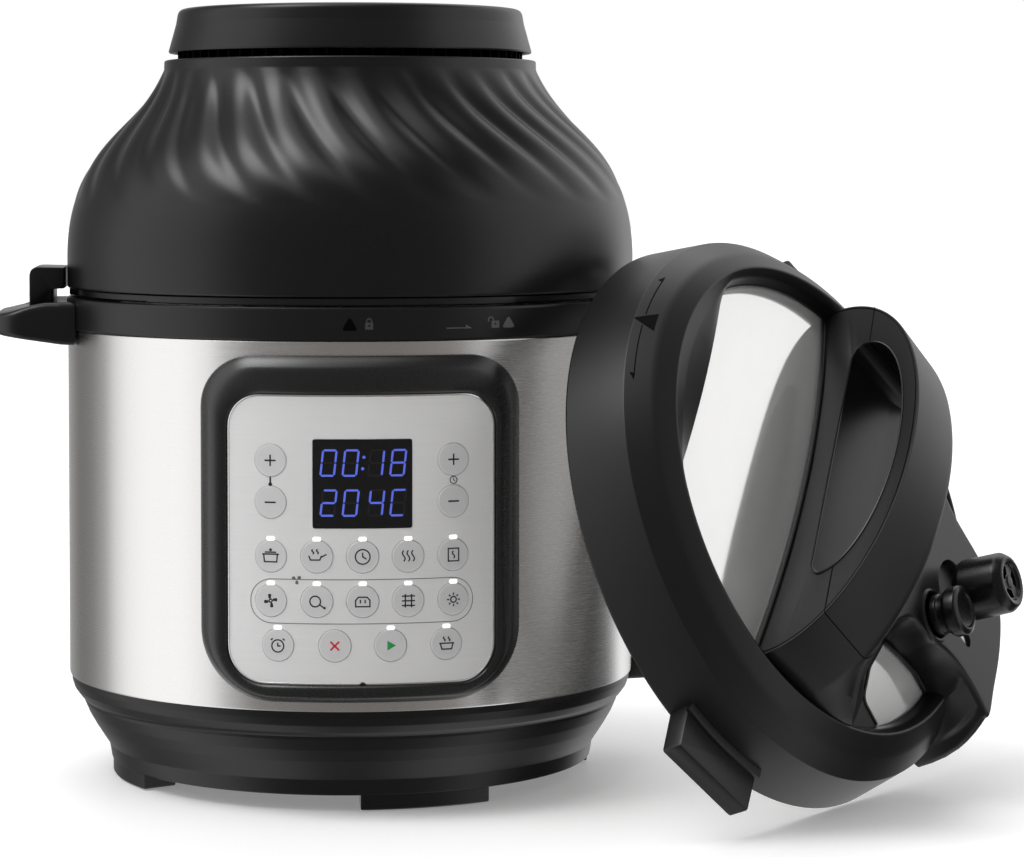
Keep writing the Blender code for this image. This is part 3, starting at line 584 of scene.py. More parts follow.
def collar_marks():
    """Lock marks on the collar: which way to turn the pressure lid."""
    radius = 0.1552
    z = 0.2524

    def patch(name, outlines, material):
        parts = [plate([densify(o, 0.002) for o in group], wrap) for group in outlines]
        add(name, *joined(parts), material, "base")

    def wrap(x, y, height):
        return on_shell(x, z + y, radius - 0.0002 + 0.00032 * height)

    def triangle(x, size):
        corners = [(x - size, -size * 0.85, size * 0.3), (x + size, -size * 0.85, size * 0.3)]
        return [fillet(corners + [(x, size * 0.95, size * 0.35)])]

    def padlock(x, open_by):
        body = [
            fillet(
                [(x - 0.0018, -0.003), (x + 0.0022, -0.003), (x + 0.0022, 0.0006), (x - 0.0018, 0.0006)],
                0.0004
            )
        ]
        keyhole = circle((x + 0.0002, -0.001), 0.0006, 12)
        body.append(keyhole)
        shackle = x + 0.0002 - open_by
        outer = arc((shackle, 0.0012), 0.0016, math.pi, 0.0, 10)
        inner = arc((shackle, 0.0012), 0.001, 0.0, math.pi, 10)
        legs = [(shackle + 0.0016, 0.0004), (shackle + 0.001, 0.0004)]
        last = [(shackle - 0.001, 0.0002), (shackle - 0.0016, 0.0002)]
        return [body, [outer + legs + inner + last]]

    patch("mark_locked", [triangle(-0.0062, 0.0042)], MARK_AND_SHADE_BLACK)
    patch("mark_closed_padlock", padlock(0.0034, 0.0), MARK_DIM)
    arrow = [(0.043, -0.0024), (0.053, -0.0024), (0.053, -0.001), (0.0562, -0.0029), (0.043, -0.0029)]
    patch("mark_arrow", [[arrow]], MARK_GREY)
    patch("mark_open_padlock", padlock(0.0684, 0.0024), MARK_GREY)
    patch("mark_open", [triangle(0.0756, 0.0036)], MARK_GREY)


def side_handle(name, side):
    """A lug that stands out of the collar, with its socket for the air-fryer lid's plug."""
    reach, half, corner = 0.193, 0.046, 0.016
    plan = [(0.13, -half)] + arc((reach - corner, -half + corner), corner, -math.pi / 2, 0.0, 10)
    plan += arc((reach - corner, half - corner), corner, 0.0, math.pi / 2, 10) + [(0.13, half)]

    def level(x, part):
        t = clamp((x - 0.163) / 0.028)
        high = 0.2586 + (0.253 - 0.2586) * t * t * (3 - 2 * t)
        low = 0.236 + (0.2415 - 0.236) * clamp((x - 0.1555) / 0.0375)
        return low + (high - low) * part

    loops = []
    for part, inset in (
        (0.0, 3.0), (0.03, 1.6), (0.1, 0.5), (0.2, 0.0), (0.78, 0.0), (0.9, 0.5), (0.97, 1.6), (1.0, 3.2)
    ):
        loop = []
        for x, y in densify(plan, 0.003):
            scale_y = 1 - inset * MM / half
            edge = x - inset * MM * clamp((x - 0.16) / 0.02)
            loop.append((side * edge, y * scale_y, level(edge, part)))
        loops.append(loop)
    node = "handle_left" if side < 0 else "handle_right"
    handle = add(name, *loft(loops), SATIN_BLACK, "base", replaces=[node])
    body = circle((0.0, 0.0), 0.1555, FINE)
    cut(handle, *loft([[(x, y, z) for x, y in body] for z in (0.2, 0.3)]))
    middle = side * (0.1617 + 0.1744) / 2
    cut(handle, *box_part((0.0139, 0.0462, 0.026), (middle, 0.0, 0.2586)))
    cut(handle, *box_part((0.006, 0.07, 0.0016), (side * 0.157, 0.0, 0.244)))
    bevelled(handle, 0.0005, 2, 50.0)


def inlet():
    place = BASE @ Matrix.Rotation(math.radians(15.0), 4, "Z")
    half_y, half_z = 0.02, 0.00625
    outer = rounded_box(half_y, -half_z, half_z, 0.0024, 0.0024, 6)
    inner = rounded_box(0.013, -0.00425, 0.00425, 0.0018, 0.0018, 6)
    x_out, x_in, floor = 0.169, 0.1551, 0.1602
    middle = 0.0488

    def ring(outline, x, grow=0.0):
        return [(x, a * (1 + grow / half_y), middle + b * (1 + grow / half_z)) for a, b in outline]

    loops = [
        ring(outer, x_in), ring(outer, x_out - 0.0008), ring(outer, x_out - 0.0002, -0.0003),
        ring(outer, x_out, -0.0008), ring(inner, x_out), ring(inner, x_out - 0.0004), ring(inner, floor)
    ]
    add("inlet_housing", *loft(loops), SATIN_BLACK, "base", place, replaces=["power_inlet"])
    for number, y in enumerate((-0.0068, 0.0, 0.0068), 1):
        blade = add(
            f"inlet_blade_{number}", *box_part((0.0074, 0.002, 0.0036), (floor + 0.0036, y, middle)),
            PLAIN_STEEL, "base", place, slot="brushed_steel"
        )
        bevelled(blade, 0.0004)


def cup():
    half_x, half_y, centre = 0.03, 0.0112, 0.1678
    outer = rounded_box(half_x, 0.1566, 0.179, 0.008, 0.0012, 6)

    def ring(inset, z):
        x_scale, y_scale = 1 - inset / half_x, 1 - inset / half_y
        return [(x * x_scale, centre + (y - centre) * y_scale, z) for x, y in outer]

    low, high, wall = 0.2, 0.2434, 0.0018
    loops = [
        ring(0.0022, low), ring(0.0008, low + 0.0006), ring(0.0, low + 0.0024), ring(0.0, high - 0.0004),
        ring(0.0004, high), ring(wall - 0.0003, high), ring(wall, high - 0.0004), ring(wall, low + 0.004),
        ring(wall + 0.0012, low + wall)
    ]
    add("drip_cup", *loft(loops), SATIN_BLACK, "condensation_cup", replaces=["condensation_cup"])


def cooking_well():
    """What shows when the lid and the pot are lifted out."""
    low, high = 0.062, 0.2495
    profile = [
        (0.0, low + 0.001), (0.106, low + 0.001, 0.01), (0.115, low + 0.01, 0.008),
        (0.115, high - 0.002, 0.001), (0.1156, high - 0.0001, 0.001), (0.124, high, 0.0006),
        (0.125, high - 0.0004, 0.0006), (0.125, high - 0.0012, 0.0004), (0.116, high - 0.0012, 0.0006),
        (0.116, low + 0.01, 0.01), (0.106, low, 0.008), (0.0, low)
    ]
    lathe(
        "steel_pot", profile, POT_STEEL, "inner_pot", rounding=6, replaces=["inner_pot"],
        slot="brushed_steel"
    )
    top = low - 0.0003
    hot = [
        (0.0145, top, 0.0006), (0.096, top, 0.001), (0.0975, top - 0.0025, 0.001), (0.0975, 0.048, 0.001),
        (0.086, 0.044, 0.001), (0.0145, 0.044)
    ]
    lathe("hot_plate", hot, ALUMINIUM, "base", replaces=["heating_plate"], slot="aluminium")
    low, high = 0.047, 0.2461
    liner = [
        (0.1304, high, 0.0004), (0.1304, high - 0.0014), (0.12, high - 0.0014, 0.0006), (0.12, low),
        (0.099, low), (0.099, low + 0.0012), (0.1188, low + 0.0012, 0.002), (0.1188, high, 0.0008)
    ]
    lathe("well_liner", liner, ALUMINIUM, "base", replaces=["chamber_liner"], slot="aluminium")


# ---- control panel


# Each key's place on the panel: x from the middle, and height
KEYS = {}
for side, name in ((-1, "temp"), (1, "time")):
    KEYS[f"key_{name}_up"] = (side * 0.0463, 0.1836)
    KEYS[f"key_{name}_down"] = (side * 0.0463, 0.1624)
for height, names in (
    (0.1352, "pressure_cook saute slow_cook steam sous_vide"),
    (0.1126, "air_fry roast bake grill dehydrate")
):
    for column, name in enumerate(names.split(), -2):
        KEYS["key_" + name] = (column * KEY_PITCH, height)
for x, name in ((-0.0427, "delay_start"), (-0.0141, "cancel"), (0.0141, "start"), (0.0427, "keep_warm")):
    KEYS["key_" + name] = (x, 0.0901)
KEY_R = 0.0082
KEY_FACE = 0.1598
DISPLAY_HALF = 0.025
DISPLAY_Z = (0.1496, 0.1944)


def bezel():
    """The frame round the panel: a broad outer chamfer, a rounded crest and a step down to the panel."""
    steps = (
        (0.0, 0.1547), (0.0, 0.1562), (0.4, 0.1572), (2.2, 0.1592), (3.6, 0.1606), (4.4, 0.1612),
        (5.6, 0.1617), (7.4, 0.1618), (9.4, 0.1617), (11.4, 0.1612), (12.5, 0.1606), (13.1, 0.1598),
        (13.3, 0.1588), (13.3, 0.156)
    )
    width, top_extra, foot_less = 13.3, 6.0, 3.9
    loops = []
    for inset, radius in steps:
        share = inset / width
        top_radius = 26.5 - 10.1 * share
        foot_radius = 36.0 - 17.0 * share
        half = 0.0814 - inset * MM
        high = 0.2363 - (inset + top_extra * share) * MM
        low = 0.0607 + (inset - foot_less * share) * MM
        outline = rounded_box(half, low, high, top_radius * MM, foot_radius * MM, 14)
        loops.append([on_shell(x, z, radius) for x, z in spaced(outline, 220)])
    loops.append(loops[0])
    add("bezel", *loft(loops, False, False), BEZEL_BLACK, "base", replaces=["panel_bezel"])


def spaced(outline, count):
    """The closed outline resampled to count points, evenly by length, from its first point."""
    points = np.array(outline + outline[:1])
    lengths = np.concatenate([[0.0], np.cumsum(np.linalg.norm(np.diff(points, axis=0), axis=1))])
    wanted = np.linspace(0.0, lengths[-1], count, endpoint=False)
    return list(zip(np.interp(wanted, lengths, points[:, 0]), np.interp(wanted, lengths, points[:, 1])))


def wrapped_sheet(name, half, low, high, top_radius, foot_radius, radii, material, **extra):
    """A solid sheet that follows the cylinder, in vertical strips so that it curves smoothly."""
    columns = []
    for i in range(13):
        columns.append(-half + top_radius * (1 - math.cos(math.pi / 2 * i / 12)))
    inside = 40
    middle = [-(half - top_radius) + 2 * (half - top_radius) * i / inside for i in range(1, inside)]
    columns = columns + middle + [-x for x in reversed(columns)]

    def drop(x, radius):
        over = abs(x) - (half - radius)
        return 0.0 if over <= 0 else radius - math.sqrt(max(radius**2 - over**2, 0.0))

    rows = 12
    grid = []
    for x in columns:
        bottom, top = low + drop(x, foot_radius), high - drop(x, top_radius)
        grid.append([(x, bottom + (top - bottom) * j / rows) for j in range(rows + 1)])
    verts, faces = [], []
    across = rows + 1
    for radius in radii:
        verts += [on_shell(x, z, radius) for column in grid for x, z in column]
    size = len(grid) * across
    for i in range(len(grid) - 1):
        for j in range(rows):
            a = i * across + j
            quad = [a, a + across, a + across + 1, a + 1]
            faces.append(quad)
            faces.append([v + size for v in reversed(quad)])
    border = [i * across for i in range(len(grid))]
    border += [(len(grid) - 1) * across + j for j in range(1, across)]
    border += [i * across + rows for i in reversed(range(len(grid) - 1))]
    border += [j for j in reversed(range(1, rows))]
    for a, b in zip(border, border[1:] + border[:1]):
        faces.append([a, b, b + size, a + size])
    return add(name, verts, faces, material, "base", **extra)


def radial_normals(obj, share=0.8):
    """Shades the front of a wrapped sheet as a true cylinder."""
    mesh = obj.data
    normals = []
    for polygon in mesh.polygons:
        for index in polygon.loop_indices:
            spot = mesh.vertices[mesh.loops[index].vertex_index].co
            out = Vector((spot.x, spot.y, 0.0)).normalized()
            flat = polygon.normal
            normals.append(out if flat.dot(out) > share else flat.copy())
    mesh.normals_split_custom_set(normals)


def key_place(x, z):
    turn = math.asin(x / KEY_FACE)
    spot = Matrix.Translation((KEY_FACE * math.sin(turn), -KEY_FACE * math.cos(turn), z))
    return spot @ Matrix.Rotation(turn, 4, "Z") @ Matrix.Rotation(math.pi / 2, 4, "X")


def panel():
    face = wrapped_sheet(
        "panel_plate", 0.0677, 0.0702, 0.2167, 0.016, 0.0186, (0.1582, PANEL_R), PANEL_SILVER,
        replaces=["panel_face"], slot="panel_silver"
    )
    holes = [
        moved(cylinder(KEY_R + 0.0002, -0.004, 0.003, steps=64), key_place(x, z))
        for x, z in KEYS.values()
    ]
    cut(face, *joined(holes))
    window = rounded_box(
        DISPLAY_HALF + 0.0002, DISPLAY_Z[0] - 0.0002, DISPLAY_Z[1] + 0.0002, 0.0012, 0.0012, 4
    )
    hole = loft([[(x, y, z) for x, z in window] for y in (-0.165, -0.15)])
    cut(face, *hole)
    notch = moved(
        cylinder(0.0017, -0.004, 0.004),
        Matrix.Translation((0.0, -PANEL_R, 0.07)) @ Matrix.Rotation(math.pi / 2, 4, "X")
    )
    cut(face, *notch)
    radial_normals(face)
    rim_loops = []
    for inset, radius in ((0.1, 0.159), (0.0, 0.1596), (0.35, 0.15975), (0.8, 0.1597), (1.0, 0.1594)):
        half = 0.0678 - inset * MM
        outline = rounded_box(
            half, 0.0701 + inset * MM, 0.2168 - inset * MM, 0.0161 - inset * MM, 0.0187 - inset * MM, 12
        )
        rim_loops.append([on_shell(x, z, radius) for x, z in spaced(outline, 240)])
    rim_loops.append(rim_loops[0])
    rim = add("panel_rim", *loft(rim_loops, False, False), RIM_SILVER, "base", slot="panel_silver")
    cut(rim, *notch)


def display():
    window = wrapped_sheet(
        "display_pane", DISPLAY_HALF, *DISPLAY_Z, 0.0011, 0.0011, (0.1582, 0.1596), WINDOW_BLACK,
        replaces=["display_window"], slot="display_glass"
    )
    radial_normals(window)
    slant = 0.11
    height, width, bar = 0.0128, 0.0068, 0.00105
    segments = {
        "a": ((0, 1), (1, 1)), "b": ((1, 1), (1, 0)), "c": ((1, 0), (1, -1)), "d": ((0, -1), (1, -1)),
        "e": ((0, 0), (0, -1)), "f": ((0, 1), (0, 0)), "g": ((0, 0), (1, 0))
    }
    shapes = {"0": "abcdef", "1": "bc", "8": "abcdefg", "2": "abged", "4": "fgbc", "C": "afed"}
    lit, unlit = [], []

    def wrap(x, z, level):
        return on_shell(x, z, 0.15955 + 0.00014 * level)

    def bar_outline(start, end, left, middle):
        a = Vector((start[0] * width, start[1] * height / 2))
        b = Vector((end[0] * width, end[1] * height / 2))
        along = (b - a).normalized()
        side = Vector((-along.y, along.x)) * bar / 2
        a, b = a + along * bar * 0.62, b - along * bar * 0.62
        tip = along * bar * 0.5
        outline = [a - tip, a + side, b + side, b + tip, b - side, a - side]
        return [(left + p.x + slant * p.y, middle + p.y) for p in outline]

    for text, middle in (("0018", 0.1826), ("204C", 0.1624)):
        for place, figure in enumerate(text):
            left = (-0.0205, -0.0094, 0.0035, 0.0146)[place]
            for name, (start, end) in segments.items():
                outline = bar_outline(start, end, left, middle)
                target = lit if name in shapes[figure] else unlit
                target.append(plate([outline], wrap))
    for dot in (-0.0029, 0.0029):
        centre = (0.00035 + slant * dot, 0.1826 + dot)
        lit.append(plate([circle(centre, 0.0008, 16)], wrap))
    add("lit_segments", *joined(lit), DIGIT_BLUE, "base", slot="display_glass")
    add("unlit_segments", *joined(unlit), DIGIT_OFF, "base", slot="display_glass")


def stroke(points, width, closed=False):
    """A flat band along a line of points, mitred at its corners, as one outline or two."""
    path = [Vector(p) for p in points]
    count = len(path)
    left, right = [], []
    for i, here in enumerate(path):
        before = path[i - 1] if closed or i > 0 else None
        after = path[(i + 1) % count] if closed or i < count - 1 else None
        normals = []
        if before is not None:
            d = (here - before).normalized()
            normals.append(Vector((-d.y, d.x)))
        if after is not None:
            d = (after - here).normalized()
            normals.append(Vector((-d.y, d.x)))
        normal = sum(normals, Vector((0.0, 0.0))).normalized()
        stretch = min(1.0 / max(normal.dot(normals[0]), 0.3), 2.0)
        left.append(tuple(here + normal * width / 2 * stretch))
        right.append(tuple(here - normal * width / 2 * stretch))
    if closed:
        return [left, right]
    return [left + right[::-1]]


ICON_LINE = 0.0007


def icons():
    """Plain pictures in place of words, as lists of outline groups in a unit of one millimetre."""

    def line(*points, closed=False, width=ICON_LINE / MM):
        return stroke(points, width, closed)

    def ring(x, y, r, width=ICON_LINE / MM):
        return stroke(circle((x, y), r, 28), width, True)

    def dot(x, y, r):
        return [circle((x, y), r, 16)]

    def wave(x, y, height=3.0, swing=0.45):
        points = [(x + swing * math.sin(math.tau * t / 12), y + height * t / 12) for t in range(13)]
        return stroke(points, ICON_LINE / MM)

    plus = [line((-2.9, 0), (2.9, 0), width=0.8), line((0, -2.9), (0, 2.9), width=0.8)]
    pot = [line((-3.6, 1.0), (-3.2, -2.9), (3.2, -2.9), (3.6, 1.0)), line((-4.4, 1.0), (4.4, 1.0))]
    return {
        "key_temp_up": plus, "key_time_up": plus, "key_temp_down": plus[:1], "key_time_down": plus[:1],
        "key_pressure_cook": pot + [line((-3.0, 2.0), (3.0, 2.0)), dot(0.0, 3.2, 0.75)],
        "key_saute": [
            line((-4.0, 0.6), (-3.2, -1.6), (1.6, -1.6), (2.4, 0.6)), line((2.2, -0.2), (5.0, 1.3)),
            wave(-2.0, 1.4, 2.4), wave(0.4, 1.4, 2.4)
        ],
        "key_slow_cook": [ring(0, 0, 3.7), line((0, 2.2), (0, 0), (1.9, -1.1))],
        "key_steam": [wave(-2.4, -2.6, 5.6, 0.7), wave(0, -2.6, 5.6, 0.7), wave(2.4, -2.6, 5.6, 0.7)],
        "key_sous_vide": [
            line((-2.8, 3.2), (2.8, 3.2), (2.8, -3.2), (-2.8, -3.2), closed=True),
            wave(0.0, -1.9, 3.8, 0.6)
        ],
        "key_air_fry": [ring(0, 0, 0.8)] + [blade(k) for k in range(4)],
        "key_roast": [ring(-0.8, 0.0, 2.7), line((1.3, -1.5), (3.6, -3.2)), dot(3.9, -3.3, 0.65)],
        "key_bake": [
            line(
                (-3.6, -2.6), (3.6, -2.6), (3.6, 0.6), (2.2, 2.2), (-2.2, 2.2), (-3.6, 0.6), closed=True
            ),
            line((-1.2, 0.9), (-1.2, -0.9)), line((1.2, 0.9), (1.2, -0.9))
        ],
        "key_grill": [
            line((-3.4, y), (3.4, y)) for y in (-2.4, 0.0, 2.4)
        ] + [line((x, -3.4), (x, 3.4)) for x in (-1.6, 1.6)],
        "key_dehydrate": [ring(0, -0.2, 1.5)] + [ray(k) for k in range(8)],
        "key_delay_start": [
            ring(0, -0.4, 3.1), line((0, 1.3), (0, -0.4), (1.5, -0.4)), line((-2.6, 3.4), (-3.6, 2.5)),
            line((2.6, 3.4), (3.6, 2.5))
        ],
        "key_cancel": [
            line((-2.2, -2.2), (2.2, 2.2), width=0.95), line((-2.2, 2.2), (2.2, -2.2), width=0.95)
        ],
        "key_start": [[[(-1.7, -2.5), (2.7, 0.0), (-1.7, 2.5)]]],
        "key_keep_warm": [
            line((-3.4, 0.2), (-2.6, -2.8), (2.6, -2.8), (3.4, 0.2)), line((-4.0, 0.2), (4.0, 0.2)),
            wave(-1.3, 1.2, 2.3), wave(1.3, 1.2, 2.3)
        ]
    }


def blade(number):
    outline = fillet([(0.9, 0.0, 0.3), (3.4, -0.4, 0.6), (3.5, 1.5, 0.9), (1.3, 1.1, 0.5)])
    return [turned(outline, math.tau * number / 4)]


def ray(number):
    turn = math.tau * number / 8
    c, s = math.cos(turn), math.sin(turn)
    return stroke([(2.3 * c, 2.3 * s - 0.2), (3.5 * c, 3.5 * s - 0.2)], ICON_LINE / MM)


def keys():
    colours = {"key_cancel": INK_RED, "key_start": INK_GREEN}
    pictures = icons()
    crown = 0.0001
    profile = [
        (0.0, crown), (0.004, crown * 0.8), (0.007, crown * 0.2), (KEY_R - 0.0003, -0.00002, 0.0002),
        (KEY_R, -0.0004), (KEY_R, -0.0025), (0.0, -0.0025)
    ]
    for name, (x, z) in KEYS.items():
        place = BASE @ key_place(x, z)
        lathe(name + "_cap", profile, KEY_SILVER, name, place, 64, replaces=[name], slot="key_grey")

        def lay(a, b, level):
            return (a * MM, b * MM, 0.00005 + 0.00011 * level)

        parts = [plate(group, lay) for group in pictures[name]]
        ink = colours.get(name, INK)
        add(name + "_picture", *joined(parts), ink, name, place, slot="key_grey")


def panel_prints():
    """Light bars over the keys, the line round the second row and the small labels."""

    def wrap(x, z, level):
        return on_shell(x, z, PANEL_R - 0.0001 + 0.00022 * level)

    bars = []
    for name, (x, z) in KEYS.items():
        if name.startswith(("key_temp", "key_time")) or name == "key_cancel":
            continue
        shape = rounded_box(0.0019, z + 0.008, z + 0.0099, 0.0006, 0.0006, 4)
        bars.append(plate([[(x + a, b) for a, b in shape]], wrap, high=2.4))
    add("light_bars", *joined(bars), LED_WHITE, "base", slot="panel_silver")
    outline = rounded_box(0.0562, 0.1012, 0.1236, 0.0106, 0.0106, 12)
    band = stroke(densify(outline, 0.0015), 0.00035, True)
    add("row_line", *plate(band, wrap), INK_GREY, "base", slot="panel_silver")
    fan = []
    for number in range(3):
        shape = fillet([(0.4, -0.2, 0.2), (2.3, -0.9, 0.7), (2.6, 1.0, 0.9), (0.9, 0.9, 0.5)])
        shape = turned(shape, math.tau * number / 3 + 0.5)
        fan.append([[(x * MM - 0.0332, y * MM + 0.1236) for x, y in shape]])
    add(
        "row_fan", *joined([plate(g, wrap, high=1.3) for g in fan]), INK_GREY, "base", slot="panel_silver"
    )
    stem = rounded_box(0.0004, 0.0, 0.0036, 0.0003, 0.0003, 3)
    gauges = [[circle((-0.0463, 0.1715), 0.00095, 20)], [[(x - 0.0463, z + 0.1718) for x, z in stem]]]
    gauges.append(stroke(circle((0.0463, 0.1731), 0.0018, 28), 0.00045, True))
    gauges.append(stroke([(0.0463, 0.1742), (0.0463, 0.1731), (0.0471, 0.1726)], 0.0004))
    add("small_labels", *joined([plate(g, wrap) for g in gauges]), INK, "base", slot="panel_silver")


# ---- air-fryer lid


DOME = ((0.1018, 0.3838), (0.114, 0.347), (0.1558, 0.3436), (0.1548, 0.279))
FLUTES = 30
FLUTE_TWIST = math.radians(24.0)
FLUTE_DEPTH = 0.0022


def dome():
    """The fluted dome. Its flutes are soft waves that swirl as they come down and fade at both ends."""
    curve = bezier(*DOME, 96)
    top, foot = 0.383, 0.313

    def rows(angle):
        result = [(0.1006, 0.3888), (0.1014, 0.3885), (0.1017, 0.3878)]
        for i, (r, z) in enumerate(curve):
            before, after = curve[max(i - 1, 0)], curve[min(i + 1, len(curve) - 1)]
            slope = Vector((after[0] - before[0], after[1] - before[1])).normalized()
            out = Vector((-slope.y, slope.x))
            t = clamp((top - z) / (top - foot))
            phase = FLUTES * (angle - FLUTE_TWIST * t**1.15)
            wave = 0.5 + 0.5 * math.sin(phase + 0.35 * math.cos(phase))
            wave = wave**1.15 - 0.45
            fade = math.sin(math.pi * t**0.85) ** 0.8
            lift = FLUTE_DEPTH * fade * wave
            result.append((r + out.x * lift, z + out.y * lift))
        result += [
            (0.1548, 0.267), (0.1546, 0.266), (0.1541, 0.26565), (0.1526, 0.2656), (0.1524, 0.2664)
        ]
        result += [(0.1523, 0.278), (0.15, 0.31), (0.136, 0.335), (0.118, 0.352), (0.105, 0.369)]
        result += [(0.0985, 0.38), (0.096, 0.3868), (0.0905, 0.387), (0.0905, 0.3885), (0.099, 0.3888)]
        return result

    verts, faces = revolve(rows, FLUTES * 20, True)
    add("fluted_dome", verts, faces, DOME_BLACK, "air_fryer_lid", replaces=["air_lid_dome"], smooth=50.0)


def cap():
    low, high = 0.3928, 0.417
    profile = [
        (0.0, high - 0.0002), (0.086, high - 0.0001), (0.0938, high - 0.0004, 0.0042),
        (0.0952, 0.4085, 0.006), (0.0993, low + 0.001, 0.0008), (0.099, low, 0.0006),
        (0.0962, low, 0.0006), (0.0908, high - 0.006), (0.0, high - 0.006)
    ]
    lathe("vent_cap", profile, SATIN_BLACK, "air_fryer_lid", rounding=6, replaces=["air_lid_cap"])
    # The ribs are coloured near-black with almost no shine: painted shade, standing in for the dark gap
    # under the cap.
    ribs = []
    for k in range(72):
        rib = box_part((0.005, 0.0009, 0.0086), (0.0918, 0.0, 0.393))
        ribs.append(moved(rib, Matrix.Rotation(math.tau * k / 72, 4, "Z")))
    add("vent_ribs", *joined(ribs), MARK_AND_SHADE_BLACK, "air_fryer_lid")


def lid_foot():
    """The dome's lower ring: three long bayonet tabs over a narrower, recessed ring."""

    def rows(angle):
        off = (math.degrees(angle) + 90.0) % 120.0
        off = min(abs(off - 53.0), 120.0 - abs(off - 53.0))
        notch = clamp((22.0 - off) / 0.4)
        r = 0.1537 - 0.0045 * notch
        profile = [
            (r - 0.0005, 0.2653, 0.0003), (r, 0.2648, 0.0004), (r, 0.2618, 0.0004),
            (r - 0.0005, 0.2612, 0.0004), (0.1375, 0.2612), (0.1375, 0.2653)
        ]
        return fillet(profile)

    verts, faces = revolve(rows, 720, True)
    add("lid_foot_ring", verts, faces, SATIN_BLACK, "air_fryer_lid", replaces=["air_lid_ring"])


def plug():
    """The hooked plug that joins the air-fryer lid to the left handle."""
    low, edge, high = 0.247, 0.2655, 0.2772
    outline = [
        (-0.1556, high - 0.0004), (-0.1556, edge), (-0.1617, edge, 0.0016), (-0.1617, low),
        (-0.1744, low), (-0.1744, high, 0.0055)
    ]
    outline = fillet(outline, steps=8)
    loops = []
    for y, inset in ((-22.5, 1.0), (-22.2, 0.3), (-21.5, 0.0), (21.5, 0.0), (22.2, 0.3), (22.5, 1.0)):
        centre = (-0.165, 0.264)
        loop = []
        for x, z in outline:
            pull = Vector((centre[0] - x, centre[1] - z)).normalized() * inset * MM
            loop.append((min(x + pull.x, -0.1556), y * MM, z + pull.y))
        loops.append(loop)
    add("lid_hook", *loft(loops), SATIN_BLACK, "air_fryer_lid", replaces=["lid_plug"])


# ---- pressure lid


def plate_height(radius):
    return 0.0505 - 0.0115 * (radius / 0.1235) ** 2


def plate_at(x, y):
    """The steel plate bends down a little more in front of the handle."""
    sag = 0.005 * (max(-0.02 - y, 0.0) / 0.1) ** 2
    return plate_height(math.hypot(x, y)) - sag


def cover_ring():
    """The lid's black ring. At the front its inner edge runs straight across instead of round."""
    chord = 0.097
    lip = 0.1198

    def inner(angle):
        off = abs((angle + math.pi / 2 + math.pi) % math.tau - math.pi)
        if off > 1.2:
            return lip
        straight = chord / math.cos(off)
        softness = 0.0012
        return -softness * math.log(math.exp(-lip / softness) + math.exp(-straight / softness))

    def rows(angle):
        r = inner(angle)
        edge = plate_at(r * math.cos(angle), r * math.sin(angle)) + 0.0022
        share = clamp((0.119 - r) / 0.02)
        profile = [
            (r + 0.0004, edge - 0.003), (r, edge - 0.0008, 0.0004), (r + 0.0006, edge, 0.0006),
            (0.1224 - 0.005 * share, 0.0465 + 0.0018 * share, 0.006), (0.1262, 0.0502, 0.0018),
            (0.1362, 0.0436, 0.02), (0.1463, 0.0327, 0.0013), (0.1488, 0.02, 0.01),
            (0.1524, 0.0012, 0.0008), (0.1518, 0.0, 0.0006), (0.1462, 0.0, 0.0006), (0.14, 0.025, 0.003),
            (0.126, edge - 0.0046), (r + 0.004, edge - 0.004)
        ]
        return fillet(profile, steps=5)

    verts, faces = revolve(rows, 360, True)
    add("lid_ring", verts, faces, LID_BLACK, "pressure_lid", LID, replaces=["lid_cover"])


# The block behind the handle that carries the valves, as (edge x, edge y, foot x, foot y) in mm:
# from the handle's right foot round the rear to its left foot
TRAY = (
    (80, 6, 84, 6), (82, 20, 88, 23), (74, 34, 80, 38), (62, 44, 67, 48), (51, 51, 55.5, 54.5),
    (44.5, 58, 48.5, 61), (43.2, 67, 44.6, 69), (42.8, 77.5, 43.4, 79), (38.8, 88, 40.8, 89.5),
    (36.0, 99, 40.8, 100), (35.0, 112, 43.8, 113), (36.2, 126, 48.6, 127), (38.6, 137, 53.0, 139),
    (40.5, 144, 56, 148), (36.5, 147.6, 51, 152.6), (20, 148, 25, 152.5), (0, 148.8, 0, 152.5),
    (-16, 147.5, -22, 152), (-30, 143.5, -40, 149), (-39, 134, -50, 140), (-43, 122, -54, 126),
    (-45.5, 110, -54, 112), (-47, 96, -54, 98), (-48.5, 84, -55, 86), (-52, 72, -58, 74),
    (-58, 62, -64, 66), (-68, 54, -76, 62), (-80, 42, -88, 50), (-84, 24, -91, 28), (-80, 6, -84, 6)
)
TRAY_LEAN = math.radians(8.0)
TRAY_HEIGHT = 0.066
TRAY_CORNER = (0.056, 0.148)  # its wall leans in more round this rear corner
CORNER_REACH = 0.055
STEAM = (-0.002, 0.0933)
RELEASE = (0.027, 0.0773)
FLOAT = (0.014, 0.11)


def spline(points, steps):
    """A Catmull-Rom curve through points."""
    path = np.array(points, float)
    last = len(path) - 1
    result = []
    for i in range(last):
        a, b, c, d = (path[min(max(i + k, 0), last)] for k in (-1, 0, 1, 2))
        bend, twist = 2 * a - 5 * b + 4 * c - d, 3 * b - a - 3 * c + d
        for t in (k / steps for k in range(steps)):
            result.append(0.5 * (2 * b + (c - a) * t + bend * t**2 + twist * t**3))
    return [tuple(p) for p in result + [path[-1]]]


def tray_top(y):
    rear = 0.0665 - (y - 0.088) * math.tan(TRAY_LEAN)
    if y > 0.06:
        return rear
    t = clamp((y - 0.01) / 0.05)
    return TRAY_HEIGHT + (0.0704 - TRAY_HEIGHT) * t * t * (3 - 2 * t)


def lid_seat(x, y):
    """How low a piece on the lid's top may reach."""
    r = math.hypot(x, y)
    levels = ((0.1225, plate_height(0.1225)), (0.1262, 0.049), (0.1463, 0.0315), (0.1524, 0.0125))
    if r <= levels[0][0]:
        return plate_height(r) + 0.0002
    return float(np.interp(r, [a for a, _ in levels], [b for _, b in levels]))


